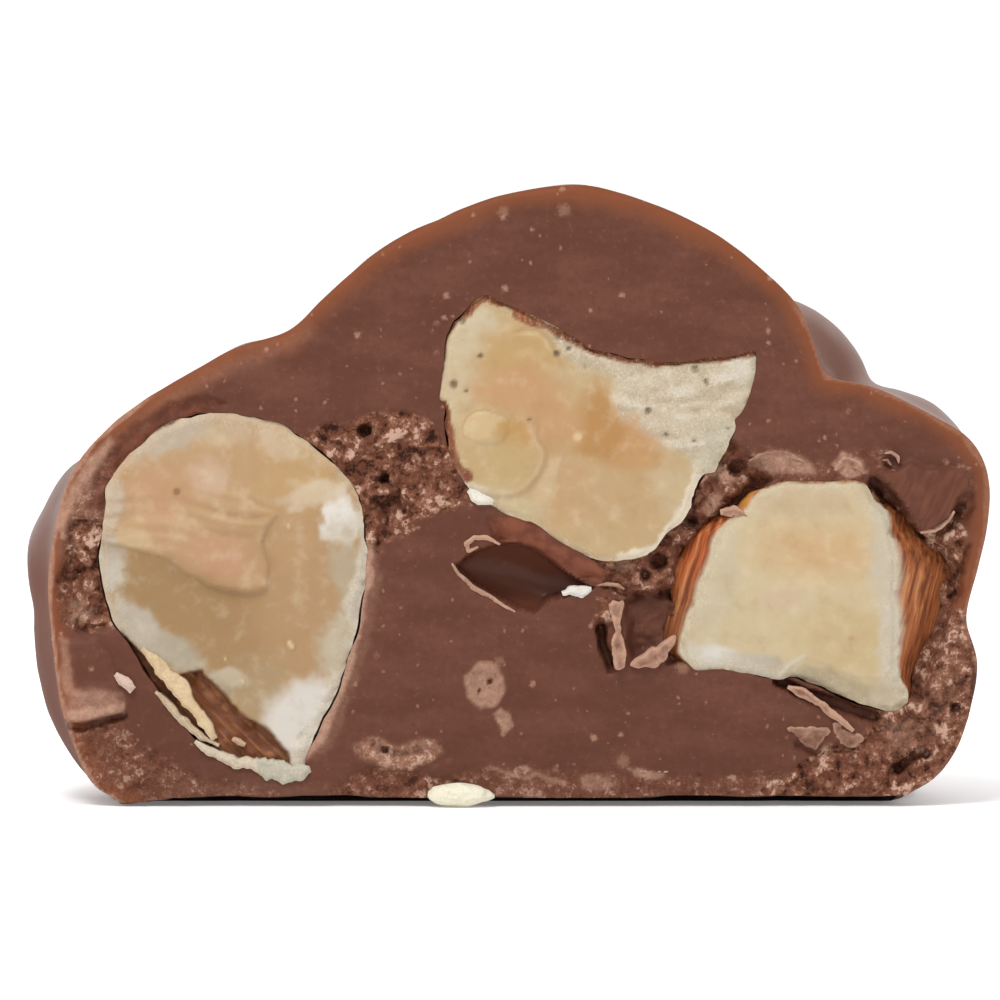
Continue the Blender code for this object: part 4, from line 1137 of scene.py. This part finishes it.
def cut_chocolate():
    """Milk chocolate where it was cut: dull, warm at its rim, with pale specks and crumbs, and with painted
    light and shade.
    """
    f = Finish("cut_milk_chocolate")
    broken, pale, hollow, shut = [f.mask(name) for name in ("broken", "pale", "hollow", "shut")]
    streaks = f.noise(3.0, 4.0, 0.55, f.stretched(1.0, 1.0, 0.4))
    mottle = f.noise(0.35, 4.0, 0.65)
    grain = f.noise(0.13, 4.0, 0.7)
    clumps = f.noise(0.8, 3.0, 0.6)
    ribs = f.noise(0.45, 3.0, 0.5, f.stretched(0.5, 1.0, 3.0, lean=0.5))
    number = f.cells(0.26, f.jittered(0.22, 0.30))[1]
    warmth = 1.0 - (f.mask("rim") + (f.noise(2.5) - 0.5) * 0.9).between(0.05, 1.15)
    level = f.mask("crumb") * 0.85 + 0.12 + (number - 0.5) * 0.50 + (grain - 0.5) * 1.2 + (clumps - 0.5) * 1.1
    # Crumbly colour, darker to paler as the crumbs stand higher: painted shade in the crevices and painted
    # light on the tops, with random tones
    crumbly = f.mix(
        (66, 36, 26),
        ((120, 72, 52), level.between(0.05, 0.34)),
        ((148, 99, 77), level.between(0.46, 0.66)),
        ((214, 174, 152), level.between(0.72, 0.98)))
    base = f.mix(
        (101, 60, 45),
        ((112, 69, 54), streaks.between(0.35, 0.68)),
        ((92, 53, 40), mottle.between(0.52, 0.30) * 0.40),
        ((138, 92, 74), mottle.between(0.55, 0.78) * 0.50),
        ((141, 78, 46), warmth * 0.80),
        (crumbly, (broken + (grain - 0.5) * 0.3).between(0.0, 0.9)))
    flat = f.flat()
    for size, biggest, share in SPECKS:
        off, own = f.cells(size, f.jittered(0.3, 0.22, flat), "2D")
        speck = (own * 2.6 - 1.8 - off * (size / biggest) + (grain - 0.5) * 1.4).between(-0.15, 0.5)
        base = f.mix(base, ((188, 142, 118), speck * share))
    pale = (pale + (grain - 0.5) * 0.9 * pale + (mottle - 0.5) * 1.1 * pale).between(0.0, 1.0)
    base = f.mix(
        base,
        # pale places, among them painted highlights on the rim's ends and the flakes' edges and painted light
        # on the ledge's step
        ((208, 163, 138), pale),
        ((112, 66, 50), hollow * 0.9),
        # redder over the band above the left almond; redder and lighter on the hollow's roof, painted light
        # from below
        (f.mix((108, 58, 42), ((142, 82, 60), clumps.between(0.30, 0.65))), f.mask("red_band_and_lit_roof") * 0.85),
        (f.mix((100, 58, 44), ((118, 72, 54), ribs.between(0.32, 0.68))), shut * 0.85),
        # near black along the base's front edge: a painted contact shadow
        ((34, 20, 15), f.mask("painted_contact_shadow")))
    f.set({"Base Color": base, "Roughness": 0.54 + broken * 0.2 - hollow * 0.30, "Specular IOR Level": 0.15})
    height = grain * (0.14 + broken * 1.5 + pale) + number * 0.4 * broken + f.noise(0.7, 3.0) * 0.35
    f.bump(height + ribs * shut * 0.20, strength=0.6, distance=0.10)
    return f.material


def poured_chocolate():
    """The outer skin of milk chocolate: smooth and satin, redder and duller low down at the front."""
    f = Finish("poured_milk_chocolate")
    clouds = f.noise(6.0, 4.0, 0.5)
    bloom = f.noise(1.2, 5.0, 0.6)
    off, number = f.cells(1.6, f.jittered(0.5, 0.4))
    speck = (number * 3.0 - 2.2 - off * 9.0).between(-0.1, 0.5)
    low = f.mask("low")
    base = f.mix(
        (108, 68, 53),
        ((124, 78, 60), clouds.between(0.3, 0.7)),
        ((150, 108, 90), bloom.between(0.55, 0.85) * 0.25),
        ((162, 122, 104), speck * 0.5),
        ((116, 66, 48), low * 0.7))
    roughness = 0.30 + f.noise(2.0, 4.0) * 0.16 + low * 0.38
    f.set({"Base Color": base, "Roughness": roughness, "Specular IOR Level": 0.36})
    height = f.noise(1.6, 3.0) * 0.7 + f.noise(0.25, 2.0) * 0.10 - speck * 0.1
    f.bump(height, strength=0.35, distance=0.12)
    return f.material


def almond(name, lean, streaky):
    """Almond flesh and skin in their painted tones: gritty where porous, with leaning lines on the skin."""
    f = Finish(name)
    skin, porous = f.mask("skin"), f.mask("porous")
    fibres = f.noise(0.22, 4.0, 0.65, f.stretched(2.0, 1.0, 0.8))
    soft = f.noise(0.9, 3.0, 0.55)
    grit = f.noise(0.11, 3.0, 0.7)
    lines = f.noise(0.30, 3.0, 0.55, f.stretched(0.80, 1.0, 17.0, lean))
    base = f.mix(
        f.tone(),
        ((170, 130, 86), (soft - 0.5).between(0.0, 0.25) * 0.22 * (1.0 - skin)),
        ((236, 220, 190), (0.5 - soft).between(0.0, 0.25) * 0.20 * (1.0 - skin)),
        ((170, 152, 124), grit.between(0.54, 0.68) * porous * 0.5),
        ((240, 234, 220), grit.between(0.46, 0.32) * porous * 0.45),
        ((92, 46, 26), lines.between(0.52, 0.36) * skin * streaky),
        ((222, 160, 104), lines.between(0.52, 0.68) * skin * (0.85 * streaky)))
    f.set({
        "Base Color": base, "Roughness": 0.50 + porous * 0.15, "Specular IOR Level": 0.30,
        "Subsurface Weight": 0.15, "Subsurface Radius": (1.0, 0.65, 0.35), "Subsurface Scale": 0.8 * MM,
    })
    height = fibres * 0.12 + soft * 0.3 + lines * skin * 1.6 + grit * (porous * 0.9 + 0.10)
    f.bump(height, strength=0.55, distance=0.11)
    return f.material


def ribbon(line, widths, ragged, seed):
    """A ragged closed outline round a line, with its half width at each point."""
    points = np.array(line, float)
    count = max(12, 9 * len(points))
    steps = np.linspace(0, len(points) - 1, count)
    xs = np.interp(steps, range(len(points)), points[:, 0])
    zs = np.interp(steps, range(len(points)), points[:, 1])
    half = np.interp(np.linspace(0, len(widths) - 1, count), range(len(widths)), widths)
    tangent = np.column_stack((np.gradient(xs), np.gradient(zs)))
    tangent /= np.hypot(tangent[:, 0], tangent[:, 1])[:, None]
    normal = np.column_stack((-tangent[:, 1], tangent[:, 0]))
    sides = []
    for side, order in ((1, 1), (-1, -1)):
        reach = half * (1.0 + ragged * layered(xs + side * 3.0, zs, 0.5, seed))
        edge = np.column_stack((xs, zs)) + side * normal * reach[:, None]
        sides += list(map(tuple, edge[::order]))
    return sides


def ragged_outline(points, seed):
    """A smooth closed outline with an uneven edge."""
    curve = np.array(smooth_outline(points, 6))
    push = 0.20 * layered(curve[:, 0], curve[:, 1], 0.34, seed)
    out = curve - curve.mean(axis=0)
    curve = curve + out / (np.hypot(out[:, 0], out[:, 1])[:, None] + TINY) * push[:, None]
    return list(map(tuple, curve))


def flake(name, outline, front, back, relief, material, masks, seed):
    """A thin broken-off piece that stands in the cut: an outline between two depths, its face uneven."""
    slab = flat_shape(name, outline, front - FLAKE_OVERRUN)
    draw_back(slab, outline, outline, back - front + FLAKE_OVERRUN)
    face_out()

    def face(x, z):
        worn = 0.13 * ramp(0.15 - inside(outline, x, z), 0.0, 0.15)
        return front + relief * layered(x, z, 0.5, seed) + worn, None

    cut_away(slab, knife(box_round(outline, *FLAKE_MARGINS), FLAKE_CELL, face))
    x, z = coordinates(slab)[:, [0, 2]].T
    values = {mask: plain(x, value) if mask == "tone" else np.full(len(x), value)
              for mask, value in masks.items()}
    if "pale" in values:
        # Paler towards the flake's edge: a painted highlight along it, with uneven patches
        patchy = 0.55 * ramp(0.20 - inside(outline, x, z), 0.0, 0.16) + 0.5 * layered(x, z, 0.5, seed + 40)
        values["pale"] = np.clip(values["pale"] * (0.62 + patchy), 0.0, 1.2)
    paint(slab, values)
    finish_piece(slab, name, [material])


def loose_chocolate(name, outline, front, back, paleness, relief, broken, seed):
    """A flake of chocolate, with the colours of the cut."""
    masks = dict(rim=3.0, broken=broken, crumb=0.6, pale=paleness)
    flake(name, outline, front, back, relief, cut_finish, masks, seed)


def pocket_gap(x, z):
    """Dark gaps show where the almonds shrank from the chocolate."""
    close = np.full(x.shape, 1.5)
    for line in SHRUNK:
        close = np.minimum(close, off_line(line, x, z))
    return 0.01 + 0.10 * ramp(0.45 - close, 0.0, 0.4)


low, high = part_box("almond_crumb")
ORIGIN = (Vector(low) + Vector(high)) / 2 - CRUMB_CENTRE * MM

cut_finish = cut_chocolate()
poured_finish = poured_chocolate()
ALMOND_FINISHES = {
    "almond_left": almond("left_almond_flesh", lean=math.radians(-45), streaky=0.35),
    "almond_centre": almond("centre_almond_flesh", lean=0.0, streaky=0.35),
    "almond_right": almond("right_almond_flesh", lean=math.radians(15), streaky=0.70),
}

# The chocolate
chocolate = poured_body()
cut_away(chocolate, knife(CUT_BOX, CHOCOLATE_CELL, chocolate_cut))
for form_name, sizes in ALMOND_SIZES.items():
    cut_away(chocolate, almond_form(f"{form_name}_pocket", grow=pocket_gap, **sizes))
x, y, z = coordinates(chocolate).T
masks = chocolate_cut(x, z)[1]
masks["low"] = ramp(12.4 - z, 0.0, 2.4) * ramp(10.0 - y, 0.0, 5.0)
paint(chocolate, masks)
middles = np.empty(len(chocolate.data.polygons) * 3)
chocolate.data.polygons.foreach_get("center", middles)
x, y, z = middles.reshape(-1, 3).T
opened = y < chocolate_cut(x, z)[0] + 0.12
for sizes in ALMOND_SIZES.values():
    opened |= (inside(sizes["outline"], x, z) > -0.5) & (y < 6.0)
finish_piece(chocolate, "chocolate_half", [cut_finish, poured_finish], "chocolate")
chocolate.data.polygons.foreach_set("material_index", np.where(opened, 0, 1).astype(np.int32))

# The almonds
for node, piece, cut in (
    ("almond_left", "left_almond", left_nut_cut),
    ("almond_centre", "centre_almond", centre_nut_cut),
    ("almond_right", "right_almond", right_nut_cut),
):
    nut = almond_form(piece, torn=0.09, **ALMOND_SIZES[node])
    cut_away(nut, knife(box_round(ALMOND_SIZES[node]["outline"], *ALMOND_MARGINS), ALMOND_CELL, cut))
    x, y, z = coordinates(nut).T
    face_depth, masks = cut(x, z)
    side = ramp(y - face_depth, 0.03, 0.12)
    share = side[:, None]
    masks["tone"] = masks["tone"] * GLOSS_OFF * (1 - share) + skin_tone(node, x, z) * share
    masks["skin"] = np.maximum(masks["skin"], side)
    masks["porous"] = masks["porous"] * (1 - side)
    paint(nut, masks)
    finish_piece(nut, piece, [ALMOND_FINISHES[node]], node)

# The crumb of almond in the base's front edge
bpy.ops.object.select_all(action="DESELECT")
bpy.ops.mesh.primitive_ico_sphere_add(subdivisions=5, radius=1.0, location=(0, 0, 0))
crumb_piece = bpy.context.active_object
places = coordinates(crumb_piece)
x, y, z = places.T
swell = 1.0 + 0.16 * layered(x * 1.6 + y, z * 1.3 - y, 0.8, 95)
lean = 1.0 - 0.20 * x
places = places * swell[:, None] * np.array(CRUMB_HALF) * 0.97
places[:, 2] *= lean
set_coordinates(crumb_piece, places + np.array(CRUMB_CENTRE))
count = len(places)
# Painted extra bright to offset the shade close to the floor: painted light
paint(crumb_piece, dict(tone=plain(x, (252, 246, 222)), skin=np.zeros(count), porous=np.full(count, 0.6)))
finish_piece(crumb_piece, "almond_crumb_piece", [ALMOND_FINISHES["almond_right"]], "almond_crumb")

# Shreds of almond torn out by the knife: line, half widths, front and back in mm, colour
SHREDS = {
    "shred_inner": ([(-16.7, 7.3), (-15.9, 6.5), (-15.1, 5.6), (-14.5, 4.7), (-13.9, 3.9), (-13.4, 3.1)],
        (0.10, 0.30, 0.36, 0.30, 0.26, 0.12), -0.22, 1.0, (224, 196, 154)),
    "shred_outer": ([(-16.1, 5.3), (-15.4, 4.6), (-14.8, 3.9), (-14.0, 3.2), (-13.2, 2.8)],
        (0.08, 0.16, 0.20, 0.16, 0.06), -0.18, 0.9, (206, 182, 152)),
    "shred_low": ([(-14.3, 3.0), (-13.7, 2.6), (-12.8, 2.2), (-11.9, 1.95), (-11.3, 1.9)],
        (0.08, 0.20, 0.26, 0.28, 0.24), -0.22, 0.9, (218, 202, 178)),
    "shred_foot": ([(-11.6, 1.95), (-11.0, 1.8), (-10.2, 1.65), (-9.5, 1.6), (-9.0, 1.75)],
        (0.25, 0.48, 0.50, 0.36, 0.12), -0.20, 0.9, (198, 192, 172)),
    "chip_left": ([(-17.95, 6.1), (-17.5, 5.75), (-17.1, 5.4)], (0.14, 0.24, 0.16), -0.34, 0.3,
        (222, 190, 174)),
    "crumb_on_skin": ([(-12.6, 3.1), (-12.3, 2.95), (-12.0, 2.8)], (0.06, 0.15, 0.08), 0.25, 1.0,
        (214, 180, 150)),
    "crumb_in_hollow": ([(2.55, 9.8), (2.9, 9.95), (3.4, 9.9), (3.9, 9.98)], (0.10, 0.20, 0.24, 0.12),
        -0.15, 0.9, (236, 230, 222)),
    "chip_centre_nut": ([(-1.75, 14.55), (-1.4, 14.3), (-0.9, 14.1), (-0.6, 14.0)],
        (0.10, 0.26, 0.24, 0.10), -0.24, 0.5, (240, 232, 218)),
}

# Curls and flakes of chocolate that stand on the cut: outline, front and back in mm, paleness
CURLS = {
    "flake_upright": ([(4.7, 9.25), (5.35, 9.5), (5.3, 8.9), (5.2, 8.3), (5.45, 7.4), (5.4, 6.5),
        (4.95, 6.45), (4.85, 7.4), (4.9, 8.4)], -0.40, 0.6, 0.80),
    "flake_slanting": ([(5.7, 6.6), (6.7, 7.3), (7.7, 7.8), (7.35, 6.95), (6.7, 6.4)], -0.30, 0.6, 0.85),
    "flake_low_right": ([(12.9, 3.65), (14.3, 3.7), (15.0, 3.5), (14.5, 3.0), (14.1, 2.6), (13.5, 3.0)],
        -0.15, 0.3, 0.58),
    "flake_low_right_small": ([(15.0, 3.9), (15.7, 3.6), (16.3, 3.2), (15.7, 2.7), (15.0, 3.2)], -0.13, 0.3,
        0.55),
}

# Thin ones: line, half widths, front and back in mm, paleness
CURL_LINES = {
    "shred_under_right_nut": ([(12.9, 5.5), (13.5, 5.25), (14.1, 4.95), (14.7, 4.5), (15.3, 4.05),
        (15.9, 3.5)], (0.08, 0.26, 0.14, 0.20, 0.12, 0.10), -0.26, 0.5, 1.0),
    "hollow_lip": ([(-2.5, 11.2), (-2.2, 10.7), (-1.6, 10.15), (-0.8, 9.65), (0.4, 8.95)],
        (0.04, 0.10, 0.11, 0.10, 0.04), -0.10, 0.4, 0.70),
    "hollow_ring": ([(-0.3, 12.05), (-0.9, 12.35), (-1.5, 12.4), (-1.85, 12.1), (-1.75, 11.75),
        (-1.3, 11.95)], (0.05, 0.10, 0.13, 0.10, 0.10, 0.05), -0.14, 0.3, 0.80),
    "curl_by_flap": ([(17.3, 16.25), (17.6, 16.3), (17.9, 16.1), (17.95, 15.8)], (0.02, 0.07, 0.08, 0.03),
        -0.42, 0.1, 0.60),
    "curl_by_flap_low": ([(17.2, 15.95), (17.45, 15.95), (17.6, 15.7)], (0.03, 0.06, 0.03), -0.40, 0.1,
        0.50),
    "curl_by_flap_inner": ([(17.6, 15.5), (17.85, 15.4), (17.9, 15.15)], (0.03, 0.06, 0.03), -0.48, 0.1,
        0.50),
    "lip_of_flap": ([(18.95, 12.62), (19.6, 12.75), (20.2, 13.15), (20.5, 13.6)], (0.05, 0.12, 0.11, 0.05),
        -0.50, 0.1, 0.75),
    "crumb_ridge_right_nut": ([(11.1, 13.3), (10.4, 13.6), (9.8, 13.5)], (0.10, 0.26, 0.12), -0.10, 0.6,
        0.75),
    "shaving_above_right_nut": ([(11.1, 15.9), (11.9, 16.25), (12.9, 16.25), (13.6, 15.85)],
        (0.05, 0.12, 0.12, 0.05), -0.12, 0.3, 0.5),
    "wedge_above_right_nut": ([(14.9, 15.4), (15.5, 15.9), (16.1, 15.7), (16.4, 15.3)],
        (0.06, 0.20, 0.16, 0.05), -0.14, 0.3, 0.6),
    "curl_right_of_hollow": ([(4.1, 10.15), (4.6, 10.25), (5.1, 10.2), (5.4, 10.0)],
        (0.03, 0.08, 0.09, 0.04), -0.06, 0.4, 0.55),
    "pale_line_low": ([(6.1, 1.65), (6.9, 1.62), (7.6, 1.6)], (0.04, 0.08, 0.04), -0.05, 0.3, 0.60),
}

# The loose pieces, each with its own unevenness
for index, (name, (line, widths, front, back, shade)) in enumerate(SHREDS.items()):
    outline = ribbon(line, widths, ragged=0.7, seed=101 + index)
    masks = dict(tone=shade, skin=0.0, porous=0.8)
    flake(name, outline, front, back, relief=0.12, material=ALMOND_FINISHES["almond_left"], masks=masks,
          seed=111 + index)
for index, (name, (points, *sizes)) in enumerate(CURLS.items()):
    outline = ragged_outline(points, seed=121 + index)
    loose_chocolate(name, outline, *sizes, relief=0.22, broken=0.25, seed=131 + index)
for index, (name, (line, widths, *sizes)) in enumerate(CURL_LINES.items()):
    outline = ribbon(line, widths, ragged=0.6, seed=141 + index)
    loose_chocolate(name, outline, *sizes, relief=0.14, broken=0.1, seed=151 + index)

# Floor, light and camera
WHITE = (1.0, 1.0, 1.0, 1.0)
FLOOR_SIZE = 3.0
LENS, SENSOR = 300.0, 36.0
PICTURE_WIDTH = 45.812 * MM  # what the picture spans at the cut
ELEVATION = math.radians(3.0)
AIM = Vector((-0.3, 0.0, 14.1))  # the middle of the picture, in mm

bpy.ops.object.select_all(action="DESELECT")
bpy.ops.mesh.primitive_plane_add(size=FLOOR_SIZE, location=(0, 0, 0))
floor = bpy.context.active_object
floor.name = "floor"
paper = Finish("pale_floor")
paper.set({
    "Base Color": (0.93, 0.93, 0.93, 1.0), "Roughness": 0.9,
    "Emission Color": WHITE, "Emission Strength": 0.14,
})
floor.data.materials.append(paper.material)

world = bpy.data.worlds.new("soft_room")
world.use_nodes = True
room = Nodes(world.node_tree)
direction = room.node("ShaderNodeTexCoord", output="Generated")
sideways = room.node("ShaderNodeSeparateXYZ", {"Vector": direction}, "Y").between(0.25, 0.85)
above = room.node("ShaderNodeSeparateXYZ", {"Vector": direction}, "Z").between(0.0, 0.9)
brightness = 0.58 + sideways * 0.45 + above * 0.52
background = world.node_tree.nodes["Background"]
background.inputs["Color"].default_value = WHITE
world.node_tree.links.new(brightness.socket, background.inputs["Strength"])
bpy.context.scene.world = world


def soft_light(name, place, size, watts, target):
    lamp = bpy.data.lights.new(name, "AREA")
    lamp.size = size
    lamp.energy = watts
    obj = bpy.data.objects.new(name, lamp)
    obj.location = place
    obj.rotation_euler = (Vector(target) - Vector(place)).to_track_quat("-Z", "Y").to_euler()
    bpy.context.scene.collection.objects.link(obj)


soft_light("key", place=(-0.08, -0.20, 0.32), size=0.11, watts=0.70, target=(0, 0, 0.012))

camera_data = bpy.data.cameras.new("camera")
camera_data.lens = LENS
camera_data.sensor_width = SENSOR
camera_data.clip_start = 0.01
camera = bpy.data.objects.new("camera", camera_data)
bpy.context.scene.collection.objects.link(camera)
target = ORIGIN + AIM * MM
distance = PICTURE_WIDTH * LENS / SENSOR
camera.location = target + Vector((0, -math.cos(ELEVATION), math.sin(ELEVATION))) * distance
camera.rotation_euler = (math.radians(90) - ELEVATION, 0, 0)
bpy.context.scene.camera = camera
bpy.context.scene.view_settings.view_transform = "Standard"
